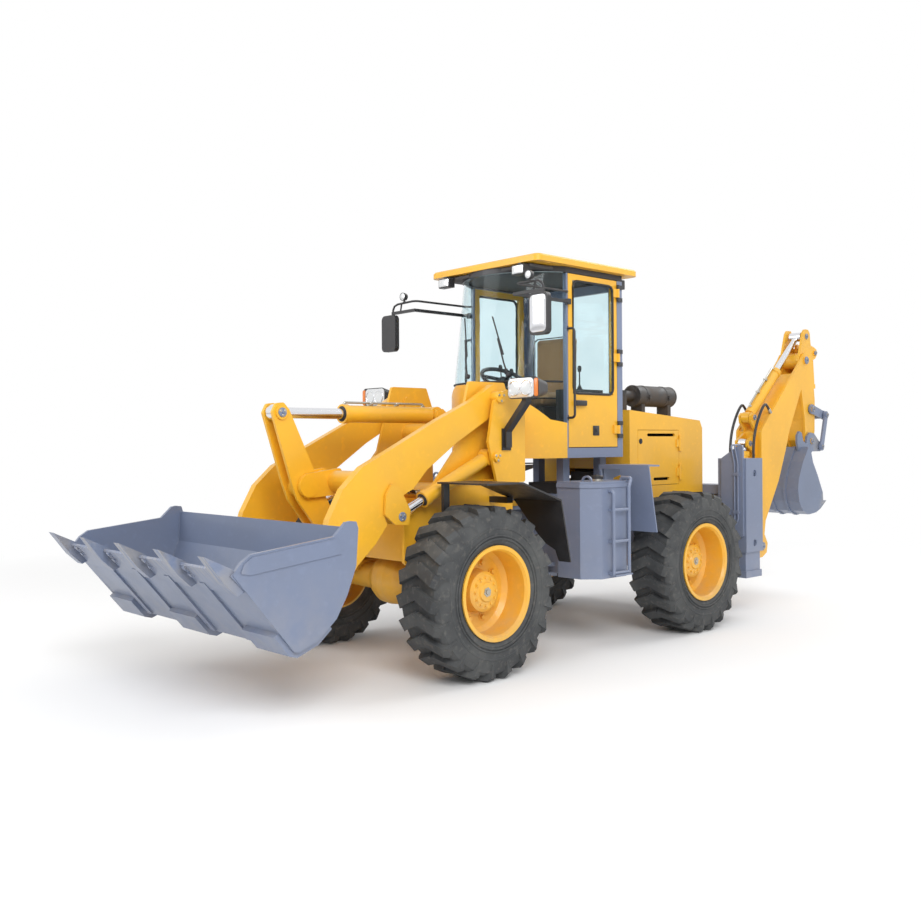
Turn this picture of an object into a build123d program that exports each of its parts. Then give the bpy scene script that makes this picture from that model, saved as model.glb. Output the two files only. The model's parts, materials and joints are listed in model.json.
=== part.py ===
"""Articulated backhoe loader, modelled piece by piece.

Millimetres, +X forward, +Y to the driver's left, +Z up, ground at z = 0.
The origin is on the ground, below the middle of the whole machine.
"""
from build123d import *
from math import atan2, cos, degrees, pi, radians, sin
import os

os.makedirs("parts", exist_ok=True)

# Running gear
front_axle_x = 1729.0
wheelbase = 2500.0
tyre_radius = 587.5
tyre_width = 400.0
track_half = 870.0
tread_depth = 40.0
lug_count = 22
lug_width = 82.0
rim_radius = 306.0
rim_flange = 322.0
rim_wall = 14.0
hub_radius = 150.0
axle_beam_radius = 92.0

# Chassis
hinge_x = front_axle_x - 1250.0
hinge_pin_radius = 35.0
hinge_levels = (550.0, 1100.0)
hinge_plate = 40.0
pin_clearance = 0.5
side_clearance = 5.0
pad_gap = 0.5
hinge_knuckle = 35.0
chassis_plate = 25.0
front_chassis_half = 455.0
rear_chassis_half = 355.0
frame_bottom = 700.0
frame_top = 1020.0
front_floor_z = 800.0
shaft_z = tyre_radius + 70.0
shaft_radius = 38.0
universal_gap = 34.0
trunnion_radius = 75.0
trunnion_z = shaft_z + 60.0

# Loader
arm_pivot = (-500.0, 1930.0)
arm_thickness = 60.0
arm_centre_y = 520.0
tower_outer_half = 610.0
bucket_half = 1075.0
bucket_plate = 20.0
bucket_side_plate = 26.0
tooth_count = 5
bucket_pin = (1080.0, 620.0)
bucket_link_pin = (1020.0, 980.0)
crank_pivot = (850.0, 1310.0)
crank_top = (1050.0, 1810.0)
crank_foot = (560.0, 860.0)
tilt_base = (-400.0, 1810.0)
lift_base = (-460.0, 1490.0)
lift_eye = (420.0, 1100.0)
crank_gap_half = 45.0
crank_plate = 24.0

# Cab
cab_half = 545.0
cab_nose_x = -1340.0
cab_rear_x = -2060.0
cab_floor_z = 1470.0
cab_sill_z = 1550.0
cab_screen_z = 2065.0
cab_head_z = 2950.0
cab_wall = 40.0
roof_half = 610.0
roof_front_x = -930.0
roof_rear_x = -2210.0
roof_top_z = cab_head_z + 100.0
door_front_x = -1360.0
door_rear_x = -1985.0
door_gap = 6.0
grab_y = 620.0
grab_high_z = cab_head_z - 450
grab_low_z = 1790.0
glass_thickness = 8.0

# Hood
hood_half = 500.0
hood_front_x = -2215.0
hood_rear_x = -3330.0
hood_bottom_z = 1070.0
hood_front_z = 1870.0
hood_rear_z = 1790.0
hood_wall = 20.0
engine_door_front_x = -2330.0
engine_door_rear_x = -2950.0
engine_door_bottom_z = 1210.0
engine_door_top_z = 1700.0

# Backhoe
hoe_centre_y = 420.0
swing_x = -3880.0
rail_half = 720.0
rail_rear_x = -3500.0
boom_foot = (-4220.0, 560.0)
boom_half = 140.0
boom_plate = 25.0
dipper_pivot = (-5190.0, 2440.0)
dipper_half = 110.0
dipper_plate = 25.0
dipper_head = (-5270.0, 2700.0)
dipper_base = (-4270.0, 1830.0)
boom_ram_base = (-4068.0, 700.0)
boom_ram_eye = (-4200.0, 1570.0)
hoe_bucket_pin = (-5320.0, 1590.0)
hoe_bucket_half = 225.0
hoe_link_pin = (-5500.0, 1530.0)
rocker_pin = (-5345.0, 1930.0)
rocker_end = (-5600.0, 1870.0)
bucket_ram_base = (-5530.0, 2540.0)
stabiliser_outer = 1000.0
tie_eye = (-3160.0, 880.0)
tie_eye_radius = 20.0
tie_plate = 30.0


def stations(*pairs):
    """Side-view points, given from the front axle, as frame coordinates."""
    return [(front_axle_x + x, z) for x, z in pairs]


def side_view(y):
    """A side-view plane at lateral place y; extrusion runs towards the right side."""
    return Plane.XZ.offset(-y)


def save(part, name):
    """Label a finished piece and write it."""
    part.label = name
    export_step(part, "parts/" + name + ".step")


def inset(points, distance):
    """Shift an open run of points sideways, keeping its corners mitred."""
    shifted = []
    for i, (x, z) in enumerate(points):
        x0, z0 = points[max(i - 1, 0)]
        x1, z1 = points[min(i + 1, len(points) - 1)]
        before = atan2(z - z0, x - x0) if i > 0 else atan2(z1 - z, x1 - x)
        after = atan2(z1 - z, x1 - x) if i < len(points) - 1 else before
        half = (after - before) / 2
        middle = before + half + pi / 2
        reach = distance / cos(half)
        shifted.append((x + reach * cos(middle), z + reach * sin(middle)))
    return shifted


def plate(points, y_high, thickness, corner=0.0, holes=()):
    """A flat side-view plate between y_high and y_high - thickness, with round holes."""
    with BuildPart() as flat:
        with BuildSketch(side_view(y_high)) as outline:
            Polygon(*points, align=None)
            if corner:
                fillet(outline.vertices(), corner)
            for x, z, radius in holes:
                with Locations((x, z)):
                    Circle(radius, mode=Mode.SUBTRACT)
        extrude(amount=thickness)
    return flat.part


def disc(point, radius, y_high, width):
    """A round boss or pin along Y at a side-view point."""
    with BuildPart() as boss:
        with BuildSketch(side_view(y_high)):
            with Locations(point):
                Circle(radius)
        extrude(amount=width)
    return boss.part


def block(x0, x1, y0, y1, z0, z1):
    """A square-cut bar or plate between two corners."""
    with BuildPart() as bar:
        with BuildSketch(Plane.XY.offset(z0)):
            with Locations(((x0 + x1) / 2, (y0 + y1) / 2)):
                Rectangle(abs(x1 - x0), abs(y1 - y0))
        extrude(amount=z1 - z0)
    return bar.part


def ram_barrel(base, eye, y, length, outer, rod, eye_outer, eye_width, pin):
    """A ram's barrel: base eye on its pin, tube, gland, and the bore for the rod."""
    along = Plane(origin=(base[0], y, base[1]), z_dir=(eye[0] - base[0], 0, eye[1] - base[1]))
    gland = 45.0
    with BuildPart() as barrel:
        with BuildSketch(along):
            Circle(eye_width * 0.44)
        extrude(amount=eye_outer + 5)
        with BuildSketch(along.offset(eye_outer - 4)):
            Circle(outer)
        extrude(amount=length - eye_outer + 4)
        with BuildSketch(along.offset(length - gland)):
            Circle(outer + 7)
        extrude(amount=gland)
        with BuildSketch(side_view(y + eye_width / 2)):
            with Locations(base):
                Circle(eye_outer)
        extrude(amount=eye_width)
        with BuildSketch(along.offset(eye_outer + 12)):
            Circle(rod + pin_clearance)
        extrude(amount=length, mode=Mode.SUBTRACT)
        with BuildSketch(side_view(y + eye_width)):
            with Locations(base):
                Circle(pin + pin_clearance)
        extrude(amount=2 * eye_width, mode=Mode.SUBTRACT)
    return barrel.part


def ram_rod(base, eye, y, start, rod, eye_outer, eye_width):
    """A ram's chromed rod, from inside the barrel to its end eye."""
    span = ((eye[0] - base[0]) ** 2 + (eye[1] - base[1]) ** 2) ** 0.5
    along = Plane(origin=(base[0], y, base[1]), z_dir=(eye[0] - base[0], 0, eye[1] - base[1]))
    with BuildPart() as stem:
        with BuildSketch(along.offset(start)):
            Circle(rod)
        extrude(amount=span - start)
        with BuildSketch(side_view(y + eye_width / 2)):
            with Locations(eye):
                Circle(eye_outer)
        extrude(amount=eye_width)
    return stem.part


def hinge_pin(x, y, z, side, reach, wall_y, radius):
    """Fixed half of a door hinge: pin, two end knuckles and a leaf on the wall behind the door."""
    with BuildPart() as fixed:
        with BuildSketch(Plane.XY.offset(z - 2 * hinge_knuckle)):
            with Locations((x, y)):
                Circle(radius / 2)
        extrude(amount=4 * hinge_knuckle)
        for low in (z - 2 * hinge_knuckle, z + hinge_knuckle + 1):
            with BuildSketch(Plane.XY.offset(low)):
                with Locations((x, y)):
                    Circle(radius)
            extrude(amount=hinge_knuckle - 1)
            low_y, high_y = sorted((wall_y + side * 0.3, y))
            add(block(x - reach, x - 3, low_y, high_y, low, low + hinge_knuckle - 1))
    return fixed.part


def hinge_leaf(x, y, z, side, reach, wall_y, radius):
    """Moving half of a door hinge: middle knuckle round the pin, with a leaf on the door's face."""
    with BuildPart() as moving:
        with BuildSketch(Plane.XY.offset(z - hinge_knuckle)):
            with Locations((x, y)):
                Circle(radius)
        extrude(amount=2 * hinge_knuckle)
        low_y, high_y = sorted((wall_y - side, y))
        add(block(x + 3, x + reach, low_y, high_y, z - hinge_knuckle, z + hinge_knuckle))
        with BuildSketch(Plane.XY.offset(z - 2 * hinge_knuckle)):
            with Locations((x, y)):
                Circle(radius / 2 + pin_clearance)
        extrude(amount=4 * hinge_knuckle, mode=Mode.SUBTRACT)
    return moving.part


# Frame coordinates of the joints
arm_pivot_at = stations(arm_pivot)[0]
bucket_pin_at = stations(bucket_pin)[0]
bucket_link_pin_at = stations(bucket_link_pin)[0]
crank_pivot_at = stations(crank_pivot)[0]
crank_top_at = stations(crank_top)[0]
crank_foot_at = stations(crank_foot)[0]
tilt_base_at = stations(tilt_base)[0]
lift_base_at = stations(lift_base)[0]
lift_eye_at = stations(lift_eye)[0]
boom_foot_at = stations(boom_foot)[0]
dipper_pivot_at = stations(dipper_pivot)[0]
dipper_head_at = stations(dipper_head)[0]
dipper_base_at = stations(dipper_base)[0]
boom_ram_base_at = stations(boom_ram_base)[0]
boom_ram_eye_at = stations(boom_ram_eye)[0]
hoe_bucket_pin_at = stations(hoe_bucket_pin)[0]
hoe_link_pin_at = stations(hoe_link_pin)[0]
rocker_pin_at = stations(rocker_pin)[0]
rocker_end_at = stations(rocker_end)[0]
tie_eye_at = stations(tie_eye)[0]
bucket_ram_base_at = stations(bucket_ram_base)[0]
swing_at_x = front_axle_x + swing_x
rear_axle_x = front_axle_x - wheelbase

# Tyre: a revolved carcass with chevron lugs, their points in the middle of the tread
tread_floor = tyre_radius - tread_depth
half_width = tyre_width / 2
bead_half = half_width - 25
tyre_profile = [
    (-bead_half, rim_radius),
    (-bead_half, rim_flange + 1),
    (-half_width + 8, rim_flange + 30),
    (-half_width, tread_floor - 95),
    (-half_width + 14, tread_floor - 22),
    (-half_width + 45, tread_floor),
    (half_width - 45, tread_floor),
    (half_width - 14, tread_floor - 22),
    (half_width, tread_floor - 95),
    (half_width - 8, rim_flange + 30),
    (bead_half, rim_flange + 1),
    (bead_half, rim_radius),
]
with BuildPart() as carcass:
    with BuildSketch(Plane.YZ):
        Polygon(*tyre_profile, align=None)
    revolve(axis=Axis.Y)

lug_lean = 24.0
arm_half = half_width / 2 / cos(radians(lug_lean))
point_offset = (arm_half + 8) * sin(radians(lug_lean)) + lug_width / 2 * cos(radians(lug_lean))
lug_top = (tyre_radius ** 2 - point_offset ** 2) ** 0.5
lug_profile = [
    (-arm_half - 8, tread_floor - 12),
    (-arm_half - 8, lug_top),
    (arm_half - 45, lug_top),
    (arm_half - 16, lug_top - 24),
    (arm_half - 16, tread_floor - 80),
    (arm_half - 45, tread_floor - 80),
]
lug_arms = []
for side in (1, -1):
    lean = radians(lug_lean)
    arm_plane = Plane(
        origin=(0, side * half_width / 2, 0),
        x_dir=(sin(lean), side * cos(lean), 0),
        z_dir=(side * cos(lean), -sin(lean), 0),
    )
    with BuildPart() as lug_arm:
        with BuildSketch(arm_plane):
            Polygon(*lug_profile, align=None)
        extrude(amount=lug_width / 2, both=True)
    lug_arms.append(lug_arm.part)

with BuildPart() as tyre:
    add(carcass.part)
    # Turned so that a lug's point stands on the ground
    point_turn = degrees(atan2(point_offset, lug_top))
    add([lug.rotate(Axis.Y, point_turn + turn * 360.0 / lug_count)
         for turn in range(lug_count) for lug in lug_arms])

# Rim: deep dish with its disc inboard and the planet hub standing in it
rim_profile = [
    (-half_width + 24, rim_radius - rim_wall),
    (-half_width + 24, rim_radius - 0.3),
    (half_width - 22, rim_radius - 0.3),
    (half_width - 22, rim_flange),
    (half_width - 10, rim_flange),
    (half_width - 10, rim_radius - 10),
    (half_width - 30, rim_radius - rim_wall - 8),
    (10, rim_radius - rim_wall - 8),
    (-20, rim_radius - rim_wall - 40),
    (-30, hub_radius),
    (62, hub_radius - 14),
    (74, hub_radius - 34),
    (80, 70),
    (92, 62),
    (92, 0),
    (-60, 0),
    (-60, hub_radius - 20),
    (-48, rim_radius - rim_wall - 50),
    (-40, rim_radius - rim_wall),
]
with BuildPart() as rim:
    with BuildSketch(Plane.YZ):
        Polygon(*rim_profile, align=None)
    revolve(axis=Axis.Y)

# name, station of the axle, side
wheel_table = [
    ("front_left", front_axle_x, 1),
    ("front_right", front_axle_x, -1),
    ("rear_left", rear_axle_x, 1),
    ("rear_right", rear_axle_x, -1),
]
for name, x, side in wheel_table:
    place = Location((x, side * track_half, tyre_radius))
    save(tyre.part.moved(place), "tyre_" + name)
    dish = rim.part if side > 0 else mirror(rim.part, about=Plane.XZ)
    save(dish.moved(place), "rim_" + name)

# Axles: tapered beam with the differential bowl, wheel flanges at its ends
flange_y = track_half - 60 - 0.5
axle_profile = [
    (0, 0),
    (0, 190),
    (60, 185),
    (130, 150),
    (190, axle_beam_radius + 10),
    (480, axle_beam_radius),
    (600, axle_beam_radius),
    (620, hub_radius - 20),
    (flange_y, hub_radius - 20),
    (flange_y, 0),
]
with BuildPart() as axle:
    with BuildSketch(Plane.YZ):
        Polygon(*axle_profile, align=None)
    revolve(axis=Axis.Y)
    mirror(about=Plane.XZ)

with BuildPart() as front_axle:
    add(axle.part.moved(Location((front_axle_x, 0, tyre_radius))))
    with BuildSketch(Plane.YZ.offset(hinge_x + universal_gap)):
        with Locations((0, shaft_z)):
            Circle(shaft_radius)
    extrude(amount=front_axle_x - 200 - hinge_x - universal_gap)
    with BuildSketch(Plane.YZ.offset(front_axle_x - 330)):
        with Locations((0, shaft_z - 20)):
            Circle(105)
    extrude(amount=260)
    for side in (1, -1):
        add(block(front_axle_x - 130, front_axle_x + 130, side * 390 - 65, side * 390 + 65,
                  tyre_radius + 40, frame_bottom))
save(front_axle.part, "front_axle")

with BuildPart() as rear_axle:
    add(axle.part.moved(Location((rear_axle_x, 0, tyre_radius))))
    with BuildSketch(Plane.YZ.offset(rear_axle_x + 80)):
        with Locations((0, shaft_z - 20)):
            Circle(105)
    extrude(amount=260)
    with BuildSketch(Plane.YZ.offset(rear_axle_x + 300)):
        with Locations((0, shaft_z)):
            Circle(shaft_radius)
    extrude(amount=hinge_x - universal_gap - rear_axle_x - 300)
    with BuildSketch(Plane.YZ.offset(rear_axle_x - 300)):
        with Locations((0, trunnion_z)):
            Circle(trunnion_radius)
    extrude(amount=610)
save(rear_axle.part, "rear_axle")

# Front frame: twin side plates rising into the arm towers, closed by cross plates
inner_plate_points = stations(
    (-340, 2050), (-190, 1540), (150, 1160), (300, 1060), (300, 760),
    (180, frame_bottom), (-760, frame_bottom), (-800, 1000), (-780, 1180), (-770, 1900), (-710, 2050))
outer_plate_points = stations(
    (-570, 1985), (-440, 1900), (-380, 1600), (-470, 1300), (-770, 1300), (-770, 1900), (-700, 1985))
inner_plate_y = front_chassis_half
tower_web_x = front_axle_x - 770.0
with BuildPart() as front_frame:
    for side in (1, -1):
        inner_high = inner_plate_y if side > 0 else -inner_plate_y + chassis_plate
        add(plate(inner_plate_points, inner_high, chassis_plate, 20))
        outer_high = tower_outer_half if side > 0 else -tower_outer_half + chassis_plate
        add(plate(outer_plate_points, outer_high, chassis_plate, 20))
        web_low = min(side * inner_plate_y, side * (tower_outer_half - chassis_plate))
        web_high = max(side * inner_plate_y, side * (tower_outer_half - chassis_plate))
        add(block(tower_web_x, tower_web_x + chassis_plate, web_low, web_high, 1320, 1880))
        add(block(tower_web_x, front_axle_x - 480, web_low, web_high, 1300, 1300 + chassis_plate))
        # Pins of the arm and of the lift ram, held in both tower plates
        pin_high = tower_outer_half + 12 if side > 0 else -inner_plate_y + chassis_plate + 12
        pin_width = tower_outer_half - inner_plate_y + chassis_plate + 24
        add(disc(arm_pivot_at, 45, pin_high, pin_width))
        add(disc(lift_base_at, 35, pin_high, pin_width))
    # Cross plates: rear bulkhead, front panel, floor, and the tilt ram's cross tube
    add(block(front_axle_x - 800, front_axle_x - 800 + chassis_plate, -inner_plate_y + 5,
              inner_plate_y - 5, frame_bottom + 20, 1250))
    add(block(front_axle_x + 200, front_axle_x + 200 + chassis_plate, -inner_plate_y + 5,
              inner_plate_y - 5, frame_bottom + 60, 1100))
    add(block(front_axle_x - 780, front_axle_x + 210, -inner_plate_y + 5, inner_plate_y - 5,
              front_floor_z, front_floor_z + chassis_plate))
    add(disc((tilt_base_at[0] - 110, tilt_base_at[1] - 130), 70, inner_plate_y - 5, 2 * inner_plate_y - 10))
    add(disc((front_axle_x - 60, 1250), 60, inner_plate_y - 5, 2 * inner_plate_y - 10))
    for side in (1, -1):
        ear_high = 40 + side_clearance + chassis_plate if side > 0 else -40 - side_clearance
        ear = [(tilt_base_at[0] - 170, tilt_base_at[1] - 170), (tilt_base_at[0] - 60, tilt_base_at[1] - 165),
               (tilt_base_at[0] + 5, tilt_base_at[1] - 90), (tilt_base_at[0] + 50, tilt_base_at[1] - 12),
               (tilt_base_at[0] + 28, tilt_base_at[1] + 43), (tilt_base_at[0] - 30, tilt_base_at[1] + 50),
               (tilt_base_at[0] - 180, tilt_base_at[1] - 60)]
        add(plate(ear, ear_high, chassis_plate, 18))
    tilt_pin_half = 40 + side_clearance + chassis_plate + 8
    add(disc(tilt_base_at, 32, tilt_pin_half, 2 * tilt_pin_half))
    # Hinge tongues
    for level in hinge_levels:
        tongue_root = front_axle_x - 800
        if level < frame_bottom:
            for low, high in ((-280, -90), (90, 280)):
                add(block(tongue_root, tongue_root + 60, low, high, level - hinge_plate / 2, frame_bottom + 30))
        with BuildSketch(Plane.XY.offset(level - hinge_plate / 2)):
            Polygon((tongue_root + 20, -280), (tongue_root + 20, 280), (hinge_x + 30, 110),
                    (hinge_x + 30, -110), align=None)
            with Locations((hinge_x, 0)):
                Circle(115)
                Circle(hinge_pin_radius + pin_clearance, mode=Mode.SUBTRACT)
        extrude(amount=hinge_plate)
save(front_frame.part, "front_frame")

# Front fenders: bent sheet over the tyre with a splayed rear flap
fender_sheet = 12.0
fender_outer = track_half + tyre_width / 2 + 15
fender_inner = 600.0
front_fender_run = stations((120, 1325), (-230, 1325), (-630, 1190), (-730, 740))
front_fender_outline = front_fender_run + inset(front_fender_run, fender_sheet)[::-1]
with BuildPart() as front_fenders:
    for side in (1, -1):
        high = fender_outer if side > 0 else -fender_inner
        add(plate(front_fender_outline, high, fender_outer - fender_inner))
        # Rear and front stays from the chassis side plate
        low_y, high_y = sorted((side * inner_plate_y, side * (fender_inner + 40)))
        add(block(front_axle_x - 600, front_axle_x - 540, low_y, high_y, 1150, 1195))
        low_y, high_y = sorted((side * inner_plate_y, side * (fender_inner + 60)))
        add(block(front_axle_x + 60, front_axle_x + 115, low_y, high_y, 935, 960))
        low_y, high_y = sorted((side * (fender_inner + 35), side * (fender_inner + 60)))
        add(block(front_axle_x + 60, front_axle_x + 115, low_y, high_y, 935, 1320))
    # The flap's inner edge runs outwards towards its foot, clear of the rear half when steering
    for side in (1, -1):
        with BuildSketch(Plane.YZ.offset(front_axle_x - 800)):
            Polygon((side * 560, 1250), (side * 625, 1180), (side * 860, 870), (side * 960, 820),
                    (side * 985, 700), (side * 560, 700), align=None)
        extrude(amount=185, mode=Mode.SUBTRACT)
save(front_fenders.part, "front_fenders")

# Headlamps: moulded shells on bent bars from the tower plates
lamp_centre = (front_axle_x - 560, 850.0, 1987.0)
with BuildPart() as headlamps:
    for side in (1, -1):
        lamp_y = side * lamp_centre[1]
        with BuildSketch(Plane.YZ.offset(lamp_centre[0] + 70)) as face:
            with Locations((lamp_y, lamp_centre[2])):
                RectangleRounded(300, 155, 42)
        with BuildSketch(Plane.YZ.offset(lamp_centre[0] - 90)):
            with Locations((lamp_y, lamp_centre[2])):
                RectangleRounded(190, 100, 36)
        loft()
        bar_line = [(side * (tower_outer_half + 10), 1560), (side * (tower_outer_half + 10), 1700),
                    (side * 800, 1900), (side * 800, 1960)]
        bar_run = bar_line + [(side * 840, 1960), (side * 840, 1885), (side * (tower_outer_half + 36), 1675),
                              (side * (tower_outer_half + 36), 1560)]
        with BuildSketch(Plane.YZ.offset(lamp_centre[0] - 30)):
            Polygon(*bar_run, align=None)
        extrude(amount=60)
        low_y, high_y = sorted((side * (tower_outer_half + 0.3), side * (tower_outer_half + 12)))
        add(block(lamp_centre[0] - 45, lamp_centre[0] + 45, low_y, high_y, 1540, 1700))
save(headlamps.part, "headlamps")

# Loader arms: two thick cranked plates joined by the cross tube that carries the crank bracket
arm_points = stations(
    (-575, 1990), (-500, 2030), (-280, 1905), (60, 1760), (460, 1570), (740, 1440), (900, 1300), (1010, 1110),
    (1150, 660), (1130, 570), (1040, 545), (960, 600), (780, 800), (630, 930), (480, 1110), (350, 1230),
    (170, 1410), (-120, 1600), (-420, 1760), (-570, 1870))
cross_tube_at = stations((620, 1335))[0]
cross_tube_radius = 75.0
bracket_inner = crank_gap_half + crank_plate + side_clearance
bracket_plate = 28.0
lift_ear_inner = 36.0
lift_ear_plate = 20.0
with BuildPart() as loader_arms:
    for side in (1, -1):
        arm_high = side * arm_centre_y + arm_thickness / 2
        add(plate(arm_points, arm_high, arm_thickness, 22, [(*arm_pivot_at, 45 + pin_clearance)]))
        add(disc(bucket_pin_at, 95, arm_high + 15, arm_thickness + 30))
        add(disc(bucket_pin_at, 30, arm_high + 60, arm_thickness + 120))
        for ear_side in (1, -1):
            ear_high = side * arm_centre_y + (lift_ear_inner + lift_ear_plate if ear_side > 0 else -lift_ear_inner)
            ear = [(lift_eye_at[0] - 60, lift_eye_at[1] - 62), (lift_eye_at[0] + 62, lift_eye_at[1] - 50),
                   (lift_eye_at[0] + 150, lift_eye_at[1] + 20), (lift_eye_at[0] + 140, lift_eye_at[1] + 150),
                   (lift_eye_at[0] + 90, lift_eye_at[1] + 225), (lift_eye_at[0] + 20, lift_eye_at[1] + 200),
                   (lift_eye_at[0] - 75, lift_eye_at[1] + 40)]
            add(plate(ear, ear_high, lift_ear_plate, 18))
        bracket_high = side * bracket_inner + (bracket_plate if side > 0 else 0)
        bracket = [(cross_tube_at[0] - 95, cross_tube_at[1] - 30), (cross_tube_at[0] - 10, cross_tube_at[1] - 95),
                   (crank_pivot_at[0] + 20, crank_pivot_at[1] - 85), (crank_pivot_at[0] + 80, crank_pivot_at[1] - 10),
                   (crank_pivot_at[0] + 20, crank_pivot_at[1] + 82), (cross_tube_at[0] - 40, cross_tube_at[1] + 92)]
        add(plate(bracket, bracket_high, bracket_plate, 22))
        boss_high = bracket_inner + bracket_plate + 8 if side > 0 else -bracket_inner
        add(disc(crank_pivot_at, 78, boss_high, bracket_plate + 8))
    add(disc(cross_tube_at, cross_tube_radius, arm_centre_y - 10, 2 * arm_centre_y - 20))
    add(disc(crank_pivot_at, 35, bracket_inner + 10, 2 * bracket_inner + 20))
    for side in (1, -1):
        add(disc((lift_eye_at[0] + 76, lift_eye_at[1] + 158), 34,
                 side * arm_centre_y + lift_ear_inner + lift_ear_plate, 2 * (lift_ear_inner + lift_ear_plate)))
    # Room for the ram's end between its ears, along the ram
    slope = atan2(lift_eye_at[1] - lift_base_at[1], lift_eye_at[0] - lift_base_at[0])
    room = [(lift_eye_at[0] + along * cos(slope) - rise * sin(slope),
             lift_eye_at[1] + along * sin(slope) + rise * cos(slope))
            for along, rise in ((-260, -90), (-260, 117), (50, 118), (120, 50), (120, -90))]
    for side in (1, -1):
        add(plate(room, side * arm_centre_y + lift_ear_inner, 2 * lift_ear_inner), mode=Mode.SUBTRACT)
save(loader_arms.part, "loader_arms")

# Crank of the tipping linkage: twin plates on a middle boss
crank_points = [
    (crank_top_at[0] - 66, crank_top_at[1] + 20), (crank_top_at[0] - 20, crank_top_at[1] + 68),
    (crank_top_at[0] + 40, crank_top_at[1] + 62), (crank_top_at[0] + 72, crank_top_at[1]),
    (crank_pivot_at[0] + 118, crank_pivot_at[1] + 20), (crank_pivot_at[0] + 70, crank_pivot_at[1] - 100),
    (crank_foot_at[0] + 70, crank_foot_at[1] - 20), (crank_foot_at[0] + 20, crank_foot_at[1] - 66),
    (crank_foot_at[0] - 45, crank_foot_at[1] - 50), (crank_foot_at[0] - 68, crank_foot_at[1] + 20),
    (crank_pivot_at[0] - 108, crank_pivot_at[1] + 20),
]
with BuildPart() as bellcrank:
    for high in (crank_gap_half + crank_plate, -crank_gap_half):
        add(plate(crank_points, high, crank_plate, 24))
    add(disc(crank_pivot_at, 80, crank_gap_half + 1, 2 * crank_gap_half + 2))
    add(disc(crank_foot_at, 30, crank_gap_half + 1, 2 * crank_gap_half + 2))
    for high in (crank_gap_half + crank_plate + 14, -crank_gap_half - crank_plate):
        add(disc(crank_top_at, 48, high, 14))
        add(disc(crank_foot_at, 44, high, 14))
    add(disc(crank_pivot_at, 35 + pin_clearance, 200, 400), mode=Mode.SUBTRACT)
save(bellcrank.part, "bellcrank")

# Link from the crank's foot to the bucket
link_half = crank_gap_half - side_clearance - 3
with BuildPart() as bucket_link:
    with BuildSketch(side_view(link_half)):
        with Locations(crank_foot_at, bucket_link_pin_at):
            Circle(58)
        Polygon((crank_foot_at[0] - 10, crank_foot_at[1] + 36),
                (bucket_link_pin_at[0] - 10, bucket_link_pin_at[1] + 36),
                (bucket_link_pin_at[0] + 10, bucket_link_pin_at[1] - 36),
                (crank_foot_at[0] + 10, crank_foot_at[1] - 36),
                align=None)
        with Locations(crank_foot_at):
            Circle(30 + pin_clearance, mode=Mode.SUBTRACT)
    extrude(amount=2 * link_half)
save(bucket_link.part, "bucket_link")

# Loader bucket: rolled shell between side plates, lip with five teeth, hinge ears behind
floor_run = stations((2040, 895), (1960, 815), (1640, 440))
back_run = stations((1610, 432), (1480, 480), (1350, 590), (1270, 720), (1205, 880), (1190, 1100))
shell_run = floor_run + back_run
side_points = stations(
    (2030, 900), (1975, 965), (1915, 1003), (1360, 1062), (1275, 1140), (1200, 1140), (1186, 1100), (1203, 880),
    (1268, 718), (1348, 587), (1478, 477), (1610, 430), (1642, 438))
ear_points = [
    (bucket_pin_at[0] - 80, bucket_pin_at[1] - 30), (bucket_pin_at[0] - 20, bucket_pin_at[1] - 85),
    (bucket_pin_at[0] + 60, bucket_pin_at[1] - 80), (bucket_pin_at[0] + 330, bucket_pin_at[1] - 100),
    (bucket_pin_at[0] + 200, bucket_pin_at[1] + 90), (bucket_pin_at[0] + 125, bucket_pin_at[1] + 270),
    (bucket_pin_at[0] + 118, bucket_pin_at[1] + 420), (bucket_link_pin_at[0] + 40, bucket_link_pin_at[1] + 66),
    (bucket_link_pin_at[0] - 40, bucket_link_pin_at[1] + 60), (bucket_link_pin_at[0] - 66, bucket_link_pin_at[1] - 10),
]
outer_ear_points = ear_points[:7]
corner_at = stations((1240, 1102))[0]
strip_points = stations((1965, 952), (1912, 988), (1362, 1048), (1310, 1000), (1312, 960), (1925, 893), (1985, 905))
strip_proud = 8.0
wear_thickness = 14.0
heel_thickness = 34.0
link_ear_inner = crank_gap_half
tooth_x, tooth_z = stations((2190, 1010))[0]
lip_x, lip_z = shell_run[0]
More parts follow.
